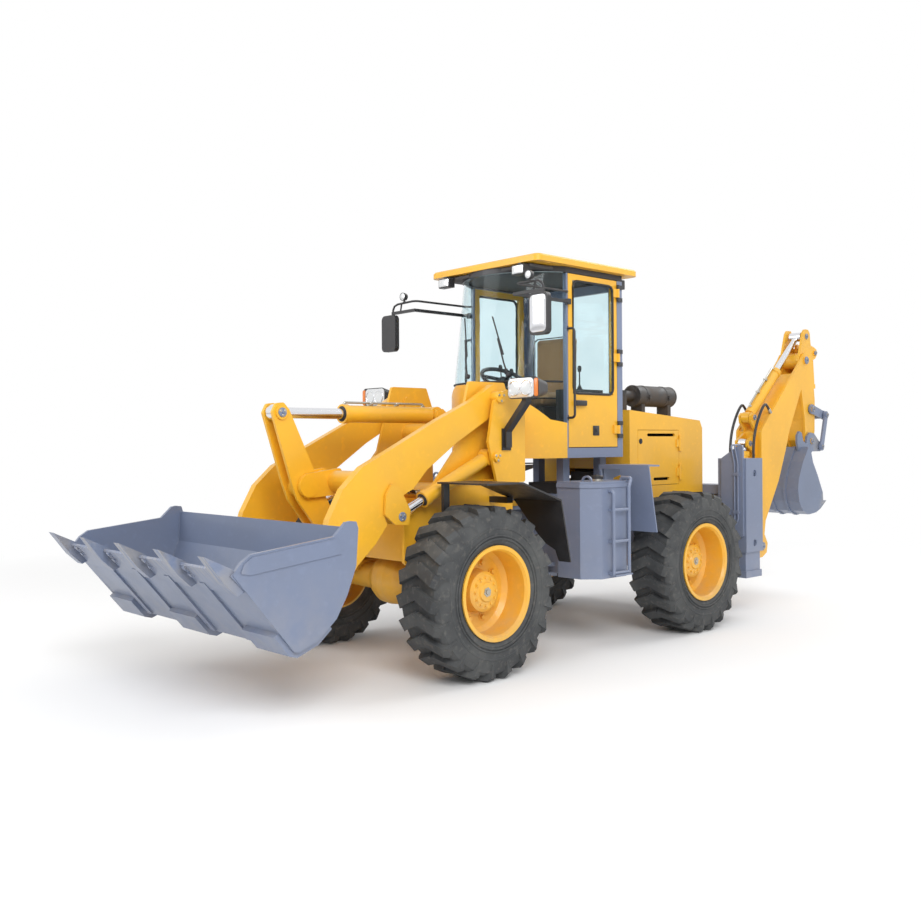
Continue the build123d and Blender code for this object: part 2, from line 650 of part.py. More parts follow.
with BuildPart() as loader_bucket:
    add(plate(shell_run + inset(shell_run, -bucket_plate)[::-1], bucket_half - 5, 2 * bucket_half - 10))
    for high in (bucket_half, -bucket_half + bucket_side_plate):
        add(plate(side_points, high, bucket_side_plate, 8))
    for side in (1, -1):
        for inner in (arm_centre_y - arm_thickness / 2 - 15 - side_clearance - 30,
                      arm_centre_y + arm_thickness / 2 + 15 + side_clearance):
            ear_high = inner + 30 if side > 0 else -inner
            add(plate(outer_ear_points + [(bucket_pin_at[0] - 40, bucket_pin_at[1] + 60)], ear_high, 30, 14,
                      [(*bucket_pin_at, 30 + pin_clearance)]))
        link_ear_high = link_ear_inner + 25 if side > 0 else -link_ear_inner
        add(plate(ear_points[2:], link_ear_high, 25, 12))
    # Rounded lifting corners, edge strips on the sides, and wear strips and heel pads below
    for high in (bucket_half, -bucket_half + bucket_side_plate):
        add(disc(corner_at, 42, high, bucket_side_plate))
    for high in (bucket_half + strip_proud, -bucket_half + 1):
        add(plate(strip_points, high, strip_proud + 1, 6))
    wear_run = stations((1965, 822), (1650, 453))
    for y in (-640, -215, 215, 640):
        add(plate(inset(wear_run, -1) + inset(wear_run, wear_thickness)[::-1], y + 32, 64))
    heel_run = stations((1735, 552), (1640, 441), (1610, 433), (1480, 481), (1390, 556))
    for y in (-885, 0, 885):
        add(plate(inset(heel_run, -1) + inset(heel_run, heel_thickness)[::-1], y + 170, 340))
    # Teeth on their adaptors, and bolt-on edge plates between them
    run_angle = atan2(tooth_z - lip_z, tooth_x - lip_x)
    tooth_profile = [
        (lip_x - 115 * cos(run_angle) - 10 * sin(run_angle), lip_z - 115 * sin(run_angle) - 22),
        (lip_x - 90 * cos(run_angle) + 34 * sin(run_angle), lip_z - 90 * sin(run_angle) - 58),
        (lip_x + 30, lip_z - 40), (tooth_x, tooth_z),
        (lip_x - 10, lip_z + 40), (lip_x - 100, lip_z - 30),
    ]
    pitch = (2 * bucket_half - 110) / (tooth_count - 1)
    for i in range(tooth_count):
        tooth_y = -bucket_half + 55 + i * pitch
        add(plate(tooth_profile, tooth_y + 38, 76))
    for i in range(tooth_count - 1):
        edge_y = -bucket_half + 55 + (i + 0.5) * pitch
        edge = stations((1935, 775), (2070, 920), (2062, 932), (2040, 915), (1960, 831), (1920, 785))
        add(plate(edge, edge_y + pitch / 2 - 55, pitch - 110))
save(loader_bucket.part, "loader_bucket")

# Rams of the loader
save(ram_barrel(tilt_base_at, crank_top_at, 0, 890, 62, 38, 66, 80, 32), "tilt_barrel")
save(ram_rod(tilt_base_at, crank_top_at, 0, 560, 38, 58, 2 * (crank_gap_half - 8)), "tilt_rod")
with BuildPart() as lift_barrels:
    for side in (1, -1):
        add(ram_barrel(lift_base_at, lift_eye_at, side * arm_centre_y, 710, 52, 30, 62, 90, 35))
save(lift_barrels.part, "lift_barrels")
with BuildPart() as lift_rods:
    for side in (1, -1):
        add(ram_rod(lift_base_at, lift_eye_at, side * arm_centre_y, 190, 30, 52, 2 * (lift_ear_inner - 6)))
save(lift_rods.part, "lift_rods")

# Rear frame: two long side plates, hinge fork in front, cross plates, cab posts and tank brackets
rear_plate_points = stations(
    (-1480, frame_top + 160), (-1480, 520), (-1640, 520), (-1760, frame_bottom), (-3360, frame_bottom),
    (-3360, frame_top), (-1760, frame_top), (-1640, frame_top + 160))
fork_gap = hinge_plate / 2 + side_clearance
fork_plate = 30.0
with BuildPart() as rear_frame:
    for side in (1, -1):
        high = rear_chassis_half if side > 0 else -rear_chassis_half + chassis_plate
        add(plate(rear_plate_points, high, chassis_plate, 10, [(*tie_eye_at, tie_eye_radius + 2)]))
    inner_half = rear_chassis_half - 5
    add(block(front_axle_x - 1500, front_axle_x - 1475, -inner_half, inner_half, 720, frame_top + 150))
    add(block(front_axle_x - 1500, front_axle_x - 1475, -inner_half, -90, 520, 725))
    add(block(front_axle_x - 1500, front_axle_x - 1475, 90, inner_half, 520, 725))
    for x, top in ((-2230, frame_top - 5), (-2800, 940), (-3250, frame_top)):
        add(block(front_axle_x + x, front_axle_x + x + chassis_plate, -inner_half, inner_half, 800, top))
    # Hinge fork: two plates above and two below the front tongues, with the pins
    for level in hinge_levels:
        for low in (level + fork_gap, level - fork_gap - fork_plate):
            with BuildSketch(Plane.XY.offset(low)):
                Polygon((front_axle_x - 1490, -300), (front_axle_x - 1490, 300), (hinge_x - 20, 105),
                        (hinge_x - 20, -105), align=None)
                with Locations((hinge_x, 0)):
                    Circle(108)
            extrude(amount=fork_plate)
        with BuildSketch(Plane.XY.offset(level - fork_gap - fork_plate - 6)):
            with Locations((hinge_x, 0)):
                Circle(hinge_pin_radius)
        extrude(amount=2 * (fork_gap + fork_plate + 6))
    # Axle trunnions
    for x in (-2230, -2760):
        add(block(front_axle_x + x - 30, front_axle_x + x + 30, -inner_half, inner_half,
                  trunnion_z + trunnion_radius + 0.3, 860))
    # Cab posts with their rubber seats
    for x in (-1520, -2000):
        for side in (1, -1):
            add(block(front_axle_x + x - 40, front_axle_x + x + 40, side * 345 - 35, side * 345 + 35,
                      frame_top - 60, cab_floor_z - 0.3))
    # Outriggers under the tanks and the rear fenders
    for x in (-1380, -1560, -1760):
        for side in (1, -1):
            low_y, high_y = sorted((side * (rear_chassis_half - 5), side * 660))
            add(block(front_axle_x + x - 25, front_axle_x + x + 25, low_y, high_y, 860, 930))
    for side in (1, -1):
        low_y, high_y = sorted((side * (rear_chassis_half - 5), side * 400))
        add(block(front_axle_x - 1485, front_axle_x - 1350, low_y, high_y, 860, 930))
save(rear_frame.part, "rear_frame")

# Fuel tank on the left and hydraulic tank on the right, with a faceted front corner and a lid rim
tank_plan = [(-1080, 660), (-1080, 880), (-1200, 990), (-1500, 990), (-1630, 900), (-1630, 660)]
tank_low = 560.0
tank_top = 1295.0
with BuildPart() as tanks:
    for side in (1, -1):
        plan = [(front_axle_x + x, side * y) for x, y in tank_plan]
        with BuildSketch(Plane.XY.offset(tank_low)):
            Polygon(*plan, align=None)
        extrude(amount=tank_top - tank_low)
        with BuildSketch(Plane.XY.offset(tank_top - 45)):
            Polygon(*plan, align=None)
            offset(amount=10)
        extrude(amount=28)
        with BuildSketch(Plane.YZ.offset(front_axle_x - 1210)):
            with Locations((side * 850, tank_top - 5)):
                Circle(50)
                Circle(36, mode=Mode.SUBTRACT)
                with Locations((0, -40)):
                    Rectangle(120, 80, mode=Mode.SUBTRACT)
        extrude(amount=16)
save(tanks.part, "tanks")

# Ladders: bent tube stiles with three treads
ladder_tube = 14.0
ladder_y = 990 + 42
ladder_front_x = front_axle_x - 1290
ladder_rear_x = front_axle_x - 1480
with BuildPart() as ladders:
    for side in (1, -1):
        y = side * ladder_y
        for path_points in (
                [(ladder_front_x, side * 990.3, 1220), (ladder_front_x, y, 1220), (ladder_front_x, y, 585)],
                [(ladder_rear_x - 50, side * 930, tank_top + 22), (ladder_rear_x - 30, y, tank_top + 22),
                 (ladder_rear_x, y, 1250), (ladder_rear_x, y, 585)]):
            with BuildLine() as stile:
                FilletPolyline(*path_points, radius=24)
            with BuildSketch(Plane(origin=stile.line @ 0, z_dir=stile.line % 0)):
                Circle(ladder_tube)
            sweep(path=stile.line)
        low_y, high_y = sorted((side * 920, side * 948))
        add(block(ladder_rear_x - 66, ladder_rear_x - 36, low_y, high_y, tank_top + 0.3, tank_top + 22))
        for z in (600, 840, 1080):
            with BuildSketch(Plane.YZ.offset(ladder_rear_x)):
                with Locations((y, z)):
                    Circle(12)
            extrude(amount=ladder_front_x - ladder_rear_x)
            for x in (ladder_front_x, ladder_rear_x):
                low_y, high_y = sorted((side * 990.3, y))
                add(block(x - 10, x + 10, low_y, high_y, z - 10, z + 10))
        low_y, high_y = sorted((side * 1005, side * 1060))
        add(block(ladder_rear_x - 10, ladder_front_x + 10, low_y, high_y, 578, 590))
save(ladders.part, "ladders")

# Rear fenders: leaning front plate and a tapering top
rear_fender_run = stations((-1830, 880), (-1800, 1020), (-1725, 1400), (-2230, 1395))
rear_fender_outline = rear_fender_run + inset(rear_fender_run, -fender_sheet)[::-1]
with BuildPart() as rear_fenders:
    for side in (1, -1):
        high = 1050 if side > 0 else -560
        add(plate(rear_fender_outline, high, 490))
        low_y, high_y = sorted((side * 560, side * 572))
        gusset = stations((-1760, 1390), (-2230, 1390), (-2230, 1370), (-1900, 1300), (-1800, 1150))
        add(plate(gusset, high_y, fender_sheet))
        low_y, high_y = sorted((side * rear_chassis_half, side * 575))
        add(block(front_axle_x - 1850, front_axle_x - 1790, low_y, high_y, 920, 950))
        add(block(front_axle_x - 1850, front_axle_x - 1790, min(side * 560, side * 575), max(side * 560, side * 575),
                  930, 1180))
    for side in (1, -1):
        with BuildSketch(Plane.XY.offset(1300)):
            Polygon((front_axle_x - 1850, side * 1060), (front_axle_x - 2240, side * 1060),
                    (front_axle_x - 2240, side * 640), align=None)
        extrude(amount=200, mode=Mode.SUBTRACT)
        low_y, high_y = sorted((side * 573, side * 770))
        add(block(front_axle_x - 1860, front_axle_x - 1700, low_y, high_y, 860, 1375), mode=Mode.SUBTRACT)
save(rear_fenders.part, "rear_fenders")

# Engine with its mounts, transmission, and the radiator behind
with BuildPart() as engine:
    add(block(front_axle_x - 3060, front_axle_x - 2400, -260, 260, 960, 1600))
    for x in (-2980, -2480):
        for side in (1, -1):
            low_y, high_y = sorted((side * 250, side * (rear_chassis_half - chassis_plate - 0.3)))
            add(block(front_axle_x + x - 45, front_axle_x + x + 45, low_y, high_y, 965, 1010))
    add(block(front_axle_x - 2410, front_axle_x - 2270, -200, 200, 860, 1330))
    add(block(front_axle_x - 2180, front_axle_x - 1700, -200, 200, 760, 1250))
    add(block(front_axle_x - 2275, front_axle_x - 2170, -120, 120, 1030, 1200))
    add(block(front_axle_x - 3280, front_axle_x - 3190, -290, 290, frame_top + 0.3, 1680))
save(engine.part, "engine")

# Hood: folded shell open below, with door openings and a rear grille opening
hood_points = stations(
    (hood_front_x, hood_bottom_z), (hood_front_x, hood_front_z), (hood_rear_x + 40, hood_rear_z),
    (hood_rear_x, hood_rear_z - 70), (hood_rear_x, hood_bottom_z))
hood_inner = stations(
    (hood_front_x - hood_wall, hood_bottom_z - 5), (hood_front_x - hood_wall, hood_front_z - hood_wall),
    (hood_rear_x + 40, hood_rear_z - hood_wall), (hood_rear_x + hood_wall, hood_rear_z - 75),
    (hood_rear_x + hood_wall, hood_bottom_z - 5))
engine_door_front = front_axle_x + engine_door_front_x
engine_door_rear = front_axle_x + engine_door_rear_x
door_edge = 4.0
engine_hinge_y = hood_half + 10.5
engine_hinge_levels = (1320, 1580)
with BuildPart() as hood:
    add(plate(hood_points, hood_half, 2 * hood_half))
    add(plate(hood_inner, hood_half - hood_wall, 2 * (hood_half - hood_wall)), mode=Mode.SUBTRACT)
    add(block(engine_door_rear, engine_door_front, -hood_half - 5, hood_half + 5,
              engine_door_bottom_z, engine_door_top_z), mode=Mode.SUBTRACT)
    add(block(front_axle_x + hood_rear_x - 5, front_axle_x + hood_rear_x + hood_wall + 5, -360, 360, 1130, 1660),
        mode=Mode.SUBTRACT)
    add(block(front_axle_x + hood_front_x - hood_wall - 5, front_axle_x + hood_front_x + 5, -250, 250, 1060, 1360),
        mode=Mode.SUBTRACT)
    slat_count = 9
    for i in range(slat_count):
        slat_z = 1130 + (i + 0.5) * (1660 - 1130) / slat_count
        add(block(front_axle_x + hood_rear_x + 4, front_axle_x + hood_rear_x + 16, -362, 362, slat_z - 9, slat_z + 9))
    # Feet on the frame
    for x in (-2300, -3250):
        for side in (1, -1):
            low_y, high_y = sorted((side * 330, side * (hood_half - 5)))
            add(block(front_axle_x + x - 30, front_axle_x + x + 30, low_y, high_y, frame_top + 0.3, frame_top + 20))
            low_y, high_y = sorted((side * (hood_half - 20), side * (hood_half - 5)))
            add(block(front_axle_x + x - 30, front_axle_x + x + 30, low_y, high_y, frame_top + 0.3, hood_bottom_z + 20))
    for side in (1, -1):
        for z in engine_hinge_levels:
            add(hinge_pin(engine_door_rear, side * engine_hinge_y, z, side, 45, side * (hood_half - 0.6), 9))
save(hood.part, "hood")

for side, name in ((1, "left"), (-1, "right")):
    with BuildPart() as engine_door:
        low_y, high_y = sorted((side * (hood_half - hood_wall), side * hood_half))
        add(block(engine_door_rear + door_edge, engine_door_front - door_edge, low_y, high_y,
                  engine_door_bottom_z + door_edge, engine_door_top_z - door_edge))
        # Long pressed slots near the top and the foot, and the latch recess
        for z, length in ((1655, 420), (1265, 240)):
            with BuildSketch(side_view(high_y + 1)):
                with Locations(((engine_door_front + engine_door_rear) / 2 - 40, z)):
                    SlotOverall(length, 26)
            extrude(amount=hood_wall + 2, mode=Mode.SUBTRACT)
        for z in engine_hinge_levels:
            add(hinge_leaf(engine_door_rear, side * engine_hinge_y, z, side, 45, side * hood_half, 9))
    save(engine_door.part, "engine_door_" + name)

# Exhaust: lying silencer on two legs with inlet and outlet pipes
muffler_y = 250.0
muffler_z = 2010.0
with BuildPart() as muffler:
    with BuildSketch(Plane.YZ.offset(front_axle_x - 3150)):
        with Locations((muffler_y, muffler_z)):
            Circle(95)
    extrude(amount=560)
    with BuildSketch(Plane.YZ.offset(front_axle_x - 3230)):
        with Locations((muffler_y, muffler_z)):
            Circle(32)
    extrude(amount=85)
    with BuildSketch(Plane.YZ.offset(front_axle_x - 2600)):
        with Locations((muffler_y, muffler_z)):
            Circle(45)
    extrude(amount=180)
    with BuildSketch(Plane.XY.offset(1857)):
        with Locations((front_axle_x - 2440, muffler_y)):
            Circle(45)
    extrude(amount=muffler_z + 45 - 1857)
    for x, foot in ((-3080, 1808), (-2680, 1838)):
        add(block(front_axle_x + x - 25, front_axle_x + x + 25, muffler_y - 60, muffler_y + 60, foot, muffler_z))
save(muffler.part, "muffler")

# Cab shell: straight sides and a nose rounded about the steering hinge


def cab_outline(half, nose_front, z):
    """Filled cab plan at height z: straight sides from the rear wall, then an arc over the nose."""
    with BuildSketch(Plane.XY.offset(z)) as plan:
        with BuildLine():
            nose = ThreePointArc((cab_nose, -half), (front_axle_x + nose_front, 0), (cab_nose, half))
            Polyline(nose @ 1, (cab_rear, half), (cab_rear, -half), nose @ 0)
        make_face()
    return plan.sketch


def cab_prism(half, nose_front, low_z, high_z):
    """Upright solid of the cab's plan between two heights."""
    plan = cab_outline(half, nose_front, low_z)
    with BuildPart() as prism:
        extrude(plan, amount=high_z - low_z)
    return prism.part


nose_low_x = cab_nose_x + cab_half
nose_head_x = -940.0
head_depth = 45.0
door_front = front_axle_x + door_front_x
door_rear = front_axle_x + door_rear_x
cab_rear = front_axle_x + cab_rear_x
cab_nose = front_axle_x + cab_nose_x
cab_hinge_x = door_rear - door_gap / 2
cab_hinge_y = cab_half + 14.5
cab_hinge_levels = (1700, 2300, cab_head_z - 110)
rear_window_low_z = 1930.0
rear_window_high_z = cab_head_z - 80
rear_window_half = 430.0
with BuildPart() as cab_frame:
    # Head ring under the roof
    add(cab_prism(cab_half, nose_head_x, cab_head_z, cab_head_z + head_depth))
    add(cab_prism(cab_half - 55, nose_head_x - 55, cab_head_z - 1, cab_head_z + head_depth + 1), mode=Mode.SUBTRACT)
    # Floor inside the cowl, and the sill under the doors
    add(cab_prism(cab_half - cab_wall - 0.3, nose_low_x - cab_wall - 0.3, cab_floor_z, cab_floor_z + 30))
    for side in (1, -1):
        low_y, high_y = sorted((side * (cab_half - cab_wall - 5), side * cab_half))
        add(block(cab_rear, cab_nose - 0.3, low_y, high_y, cab_floor_z, cab_sill_z))
        for x0, x1 in ((door_front + door_gap, cab_nose - 0.3), (cab_rear, door_rear - door_gap)):
            low_y, high_y = sorted((side * (cab_half - cab_wall), side * cab_half))
            add(block(x0, x1, low_y, high_y, cab_floor_z, cab_head_z + head_depth))
        for z in cab_hinge_levels:
            add(hinge_pin(cab_hinge_x, side * cab_hinge_y, z, side, 60, side * (cab_half - 0.6), 13))
        # Grab rail on the front door post
        rail_x = cab_nose - 4
        with BuildLine() as rail:
            FilletPolyline((rail_x, side * (cab_half + 1), grab_high_z), (rail_x, side * grab_y, grab_high_z),
                           (rail_x, side * grab_y, grab_low_z), (rail_x, side * (cab_half + 1), grab_low_z), radius=32)
        with BuildSketch(Plane(origin=rail.line @ 0, z_dir=rail.line % 0)):
            Circle(10)
        sweep(path=rail.line)
        low_y, high_y = sorted((side * (cab_half - 2), side * (cab_half + 8)))
        for z in (grab_high_z, grab_low_z):
            add(block(door_front + door_gap + 1, cab_nose - 1, low_y, high_y, z - 22, z + 22))
    # Rear wall with its window
    add(block(cab_rear, cab_rear + cab_wall, -cab_half + 5, cab_half - 5, cab_floor_z, cab_head_z + head_depth))
    add(block(cab_rear - 5, cab_rear + cab_wall + 5, -rear_window_half, rear_window_half, rear_window_low_z,
              rear_window_high_z), mode=Mode.SUBTRACT)
save(cab_frame.part, "cab_frame")

# Yellow cowl round the nose, cut down along its sides for the lower glass
belt_line = stations((-700, cab_screen_z), (-835, cab_screen_z), (-1020, 1890), (-1170, 1775), (cab_nose_x, 1750))
with BuildPart() as cab_cowl:
    add(cab_prism(cab_half, nose_low_x, cab_floor_z, cab_screen_z))
    add(cab_prism(cab_half - cab_wall, nose_low_x - cab_wall, cab_floor_z - 1, cab_screen_z + 1), mode=Mode.SUBTRACT)
    add(block(cab_rear - 5, cab_nose, -700, 700, 1400, 2200), mode=Mode.SUBTRACT)
    add(plate(belt_line[1:] + [(cab_nose - 10, 1750), (cab_nose - 10, cab_screen_z + 10),
                               (belt_line[1][0], cab_screen_z + 10)], 700, 1400), mode=Mode.SUBTRACT)
save(cab_cowl.part, "cab_cowl")

# Windscreen and quarter lights in one bent band, leaning back to the head ring, and the rear window
glass_set_in = 14.0


def glass_shell(face_in):
    """Solid within the glass band's outer or inner face, lofted from belt height to the head ring."""
    half = cab_half - face_in
    low = cab_outline(half, nose_low_x - face_in, 1700)
    middle = cab_outline(half, nose_low_x - face_in - 14, cab_screen_z)
    high = cab_outline(half, nose_head_x - face_in, cab_head_z - 0.3)
    with BuildPart() as band:
        loft([low, middle])
        loft([middle, high])
    return band.part


with BuildPart() as cab_glass:
    add(glass_shell(glass_set_in))
    add(glass_shell(glass_set_in + glass_thickness), mode=Mode.SUBTRACT)
    add(block(cab_rear - 5, cab_nose + 0.3, -700, 700, 1600, cab_head_z + 50), mode=Mode.SUBTRACT)
    add(plate([(belt_line[0][0] + 60, 1600), (belt_line[0][0] + 60, cab_screen_z + 0.3)]
              + [(x, z + 0.3) for x, z in belt_line[1:]] + [(cab_nose - 10, 1600)], 700, 1400), mode=Mode.SUBTRACT)
    add(block(cab_rear + 16, cab_rear + 16 + glass_thickness, -rear_window_half + 0.3, rear_window_half - 0.3,
              rear_window_low_z + 0.3, rear_window_high_z - 0.3))
save(cab_glass.part, "cab_glass")

# Roof: wide shallow slab with a turned-down rim
with BuildPart() as cab_roof:
    with BuildSketch(Plane.XY.offset(cab_head_z + head_depth + 0.3)):
        with Locations((front_axle_x + (roof_front_x + roof_rear_x) / 2, 0)):
            RectangleRounded(roof_front_x - roof_rear_x, 2 * roof_half, 60)
    extrude(amount=roof_top_z - cab_head_z - head_depth - 0.3)
    chamfer(cab_roof.faces().sort_by(Axis.Z)[-1].edges(), 14)
save(cab_roof.part, "cab_roof")

# Cab doors, as thick as the wall, each with its window, hinged at the rear edge
window_low_z = 1985.0
window_high_z = cab_head_z - 55
window_border = 52.0
for side, name in ((1, "left"), (-1, "right")):
    low_y, high_y = sorted((side * (cab_half - cab_wall), side * cab_half))
    with BuildPart() as door:
        add(block(door_rear, door_front, low_y, high_y, cab_sill_z + door_gap, cab_head_z - door_gap))
        add(block(door_rear + window_border, door_front - window_border, low_y - 5, high_y + 5,
                  window_low_z, window_high_z), mode=Mode.SUBTRACT)
        # Pull handle and grab bar
        handle_low, handle_high = sorted((side * cab_half, side * (cab_half + 28)))
        add(block(door_front - 190, door_front - 60, handle_low, handle_high, 1895, 1925))
        for z in cab_hinge_levels:
            add(hinge_leaf(cab_hinge_x, side * cab_hinge_y, z, side, 60, side * cab_half, 13))
    save(door.part, "door_" + name)
    with BuildPart() as pane:
        middle = side * (cab_half - cab_wall / 2)
        add(block(door_rear + window_border + 0.3, door_front - window_border - 0.3, middle - glass_thickness / 2,
                  middle + glass_thickness / 2, window_low_z + 0.3, window_high_z - 0.3))
    save(pane.part, "door_glass_" + name)

# Seat cushion and back, and the console with the steering wheel
seat_x = front_axle_x - 1640
with BuildPart() as seat:
    with BuildSketch(Plane.XY.offset(1900.3)):
        with Locations((seat_x, 0)):
            RectangleRounded(480, 480, 70)
    extrude(amount=120)
    with BuildSketch(Plane.XY.offset(1960)):
        with Locations((seat_x - 210, 0)):
            RectangleRounded(110, 460, 50)
    extrude(amount=560)
save(seat.part, "seat")

with BuildPart() as cab_console:
    add(block(seat_x - 180, seat_x + 150, -170, 170, cab_floor_z + 30.3, 1900))
    add(block(front_axle_x - 1040, front_axle_x - 915, -230, 230, cab_floor_z + 30.3, 1960))
    for side in (1, -1):
        low_y, high_y = sorted((side * 290, side * 460))
        add(block(seat_x - 260, seat_x + 140, low_y, high_y, cab_floor_z + 30.3, 2030))
    column = Plane(origin=(front_axle_x - 990, 0, 1700), z_dir=(-200, 0, 410))
    with BuildSketch(column):
        Circle(38)
    extrude(amount=450)
    with BuildSketch(column.offset(446)):
        Circle(205)
        Circle(182, mode=Mode.SUBTRACT)
        for turn in (90, 210, 330):
            with Locations((0, 0)):
                Rectangle(24, 200, rotation=turn, align=(Align.CENTER, Align.MIN))
    extrude(amount=22)
save(cab_console.part, "cab_console")

# Mirrors and the roof's work lamps, with their brackets
with BuildPart() as cab_fittings:
    mirror_x = front_axle_x - 700
    mirror_z = cab_head_z - 415
    arm_z = mirror_z + 165
    for side in (1, -1):
        with BuildSketch(Plane.YZ.offset(mirror_x)):
            with Locations((side * 850, mirror_z)):
                RectangleRounded(180, 310, 40)
        extrude(amount=45)
        bar_low, bar_high = sorted((side * 560, side * 860))
        add(block(mirror_x - 24, mirror_x, bar_low, bar_high, arm_z, arm_z + 24))
        add(block(mirror_x - 24, mirror_x + 8, side * 850 - 14, side * 850 + 14, mirror_z - 35, mirror_z + 145))
        add(block(mirror_x - 22, mirror_x - 2, side * 850 - 10, side * 850 + 10, mirror_z + 65, arm_z + 10))
        add(block(cab_nose - 11, mirror_x, side * 572 - 12, side * 572 + 12, arm_z, arm_z + 24))
        stay_low, stay_high = sorted((side * (cab_half + 0.3), side * 584))
        add(block(cab_nose - 12, cab_nose + 24, stay_low, stay_high, arm_z - 10, arm_z + 34))
    # Work lamps hung under the roof's front and rear rims
    for x in (roof_front_x - 10, roof_rear_x + 60):
        for side in (1, -1):
            low_y, high_y = sorted((side * 355, side * 485))
            add(block(front_axle_x + x - 30, front_axle_x + x + 30, low_y, high_y, cab_head_z - 50, cab_head_z + 28))
            low_y, high_y = sorted((side * 405, side * 435))
            add(block(front_axle_x + x - 12, front_axle_x + x + 12, low_y, high_y,
                      cab_head_z + 20, cab_head_z + head_depth))
save(cab_fittings.part, "cab_fittings")

# Hoe frame: two cross rails between stabiliser housings, tied to the rear frame
housing_x = (front_axle_x - 3520, front_axle_x - 3240)
housing_y = (rail_half, stabiliser_outer)
housing_z = (600.0, 1440.0)
housing_wall = 14.0
pipe_y = 905.0
rail_front = front_axle_x - 3360
rail_rear = front_axle_x + rail_rear_x
rails = ((420.0, 560.0, rail_half), (1020.0, 1160.0, rail_half + 5))
leg_x = (housing_x[0] + housing_wall + side_clearance, housing_x[1] - housing_wall - side_clearance)
leg_y = (housing_y[0] + housing_wall + side_clearance, housing_y[1] - housing_wall - side_clearance)
with BuildPart() as hoe_frame:
    for low, high, half in rails:
        add(block(rail_rear, rail_front, -half, half, low, high))
    for side in (1, -1):
        low_y, high_y = sorted((side * housing_y[0], side * housing_y[1]))
        add(block(housing_x[0], housing_x[1], low_y, high_y, *housing_z))
        # Rail ends down to the lower rail, and the front plate
        low_y, high_y = sorted((side * (rail_half - 20), side * rail_half))
        add(block(rail_rear + 5, rail_front - 5, low_y, high_y, 420, 1160))
        front_plate = [(side * 765, 740), (side * 980, 740), (side * 980, 1560), (side * 945, 1560),
                       (side * 765, 1440)]
        with BuildSketch(Plane.YZ.offset(housing_x[1] - 1)) as face:
            Polygon(*front_plate, align=None)
            fillet(face.vertices(), 20)
        extrude(amount=25)
        # Two rigid oil pipes down the front plate to the leg's ram
        for y in (pipe_y, pipe_y + 34):
            with BuildLine() as pipe:
                FilletPolyline((housing_x[1] - 60, side * (y - 30), 1560), (housing_x[1] + 40, side * (y - 30), 1560),
                               (housing_x[1] + 34, side * y, 1400), (housing_x[1] + 34, side * y, 900),
                               (housing_x[1] + 10, side * (y - 60), 780), radius=30)
            with BuildSketch(Plane(origin=pipe.line @ 0, z_dir=pipe.line % 0)):
                Circle(8)
            sweep(path=pipe.line)
        for z in (1300, 960):
            add(block(housing_x[1] + 23, housing_x[1] + 44, side * (pipe_y + 17) - 30, side * (pipe_y + 17) + 30,
                      z - 14, z + 14))
        # Tie plate lapped on the chassis plate's outer face, with the tie-down eye
        tie_high = rear_chassis_half + tie_plate + 0.3 if side > 0 else -rear_chassis_half - 0.3
        add(plate(stations((-3365, 490), (-3365, 1060), (-3335, 1060), (-3300, 1015), (-3100, 1015), (-3100, 780),
                           (-3300, 720), (-3335, 490)), tie_high, tie_plate, 0.0, [(*tie_eye_at, tie_eye_radius)]))
    for side in (1, -1):
        low_y, high_y = sorted((side * (leg_y[0] - side_clearance), side * (leg_y[1] + side_clearance)))
        add(block(leg_x[0] - side_clearance, leg_x[1] + side_clearance, low_y, high_y, 590, 1425), mode=Mode.SUBTRACT)
        # Rear slope and the two lightening holes of the outer wall
        for z in (1305, 680):
            with BuildSketch(side_view(side * (stabiliser_outer + 5) if side > 0 else -stabiliser_outer + 25)):
                with Locations((front_axle_x - 3385, z)):
                    Circle(30)
            extrude(amount=30, mode=Mode.SUBTRACT)
save(hoe_frame.part, "hoe_frame")

for side, name in ((1, "left"), (-1, "right")):
    low_y, high_y = sorted((side * leg_y[0], side * leg_y[1]))
    with BuildPart() as leg:
        add(block(leg_x[0], leg_x[1], low_y, high_y, 430, 1380))
        add(block(leg_x[0] - 12, leg_x[1] + 12, low_y - 12, high_y + 12, 372, 432))
        # Wear pads at the leg's top
        pad = side_clearance - pad_gap
        add(block(leg_x[0] - pad, leg_x[1] + pad, low_y - pad, high_y + pad, 1310, 1370))
    save(leg.part, "stabiliser_" + name)

# Carriage that slides along the rails, with the lugs of the swing hinge
lug_levels = ((470.0, 560.0), (940.0, 1030.0))
lug_plate = 40.0
swing_pin = 35.0
carriage_face = rail_rear - side_clearance
with BuildPart() as hoe_carriage:
    add(block(carriage_face - 40, carriage_face, hoe_centre_y - 260, hoe_centre_y + 260, 400, 1190))
    for low, high in ((1165, 1195), (385, 415)):
        add(block(carriage_face - 40, rail_front + 25, hoe_centre_y - 260, hoe_centre_y + 260, low, high))
    add(block(rail_front + side_clearance, rail_front + 25, hoe_centre_y - 260, hoe_centre_y + 260, 1110, 1190))
    add(block(rail_front + side_clearance, rail_front + 25, hoe_centre_y - 260, hoe_centre_y + 260, 390, 480))
    for low, high in lug_levels:
        for z in (low - side_clearance - lug_plate, high + side_clearance):
            with BuildSketch(Plane.XY.offset(z)):
                with Locations((swing_at_x, hoe_centre_y)):
                    Circle(70)
                    Rectangle(carriage_face - 30 - swing_at_x, 140, align=(Align.MIN, Align.CENTER))
            extrude(amount=lug_plate)
        with BuildSketch(Plane.XY.offset(low - side_clearance - lug_plate - 10)):
            with Locations((swing_at_x, hoe_centre_y)):
                Circle(swing_pin)
        extrude(amount=high - low + 2 * (side_clearance + lug_plate + 10))
    for y in (-150, 150):
        add(block(carriage_face - 150, carriage_face - 35, hoe_centre_y + y - 12, hoe_centre_y + y + 12, 430, 1120))
    # Wear pads that run on the rails
    for low, high, half in rails:
        for y in (-200, 200):
            add(block(carriage_face - 1, rail_rear - pad_gap, hoe_centre_y + y - 45, hoe_centre_y + y + 45,
                      low + 20, high - 20))
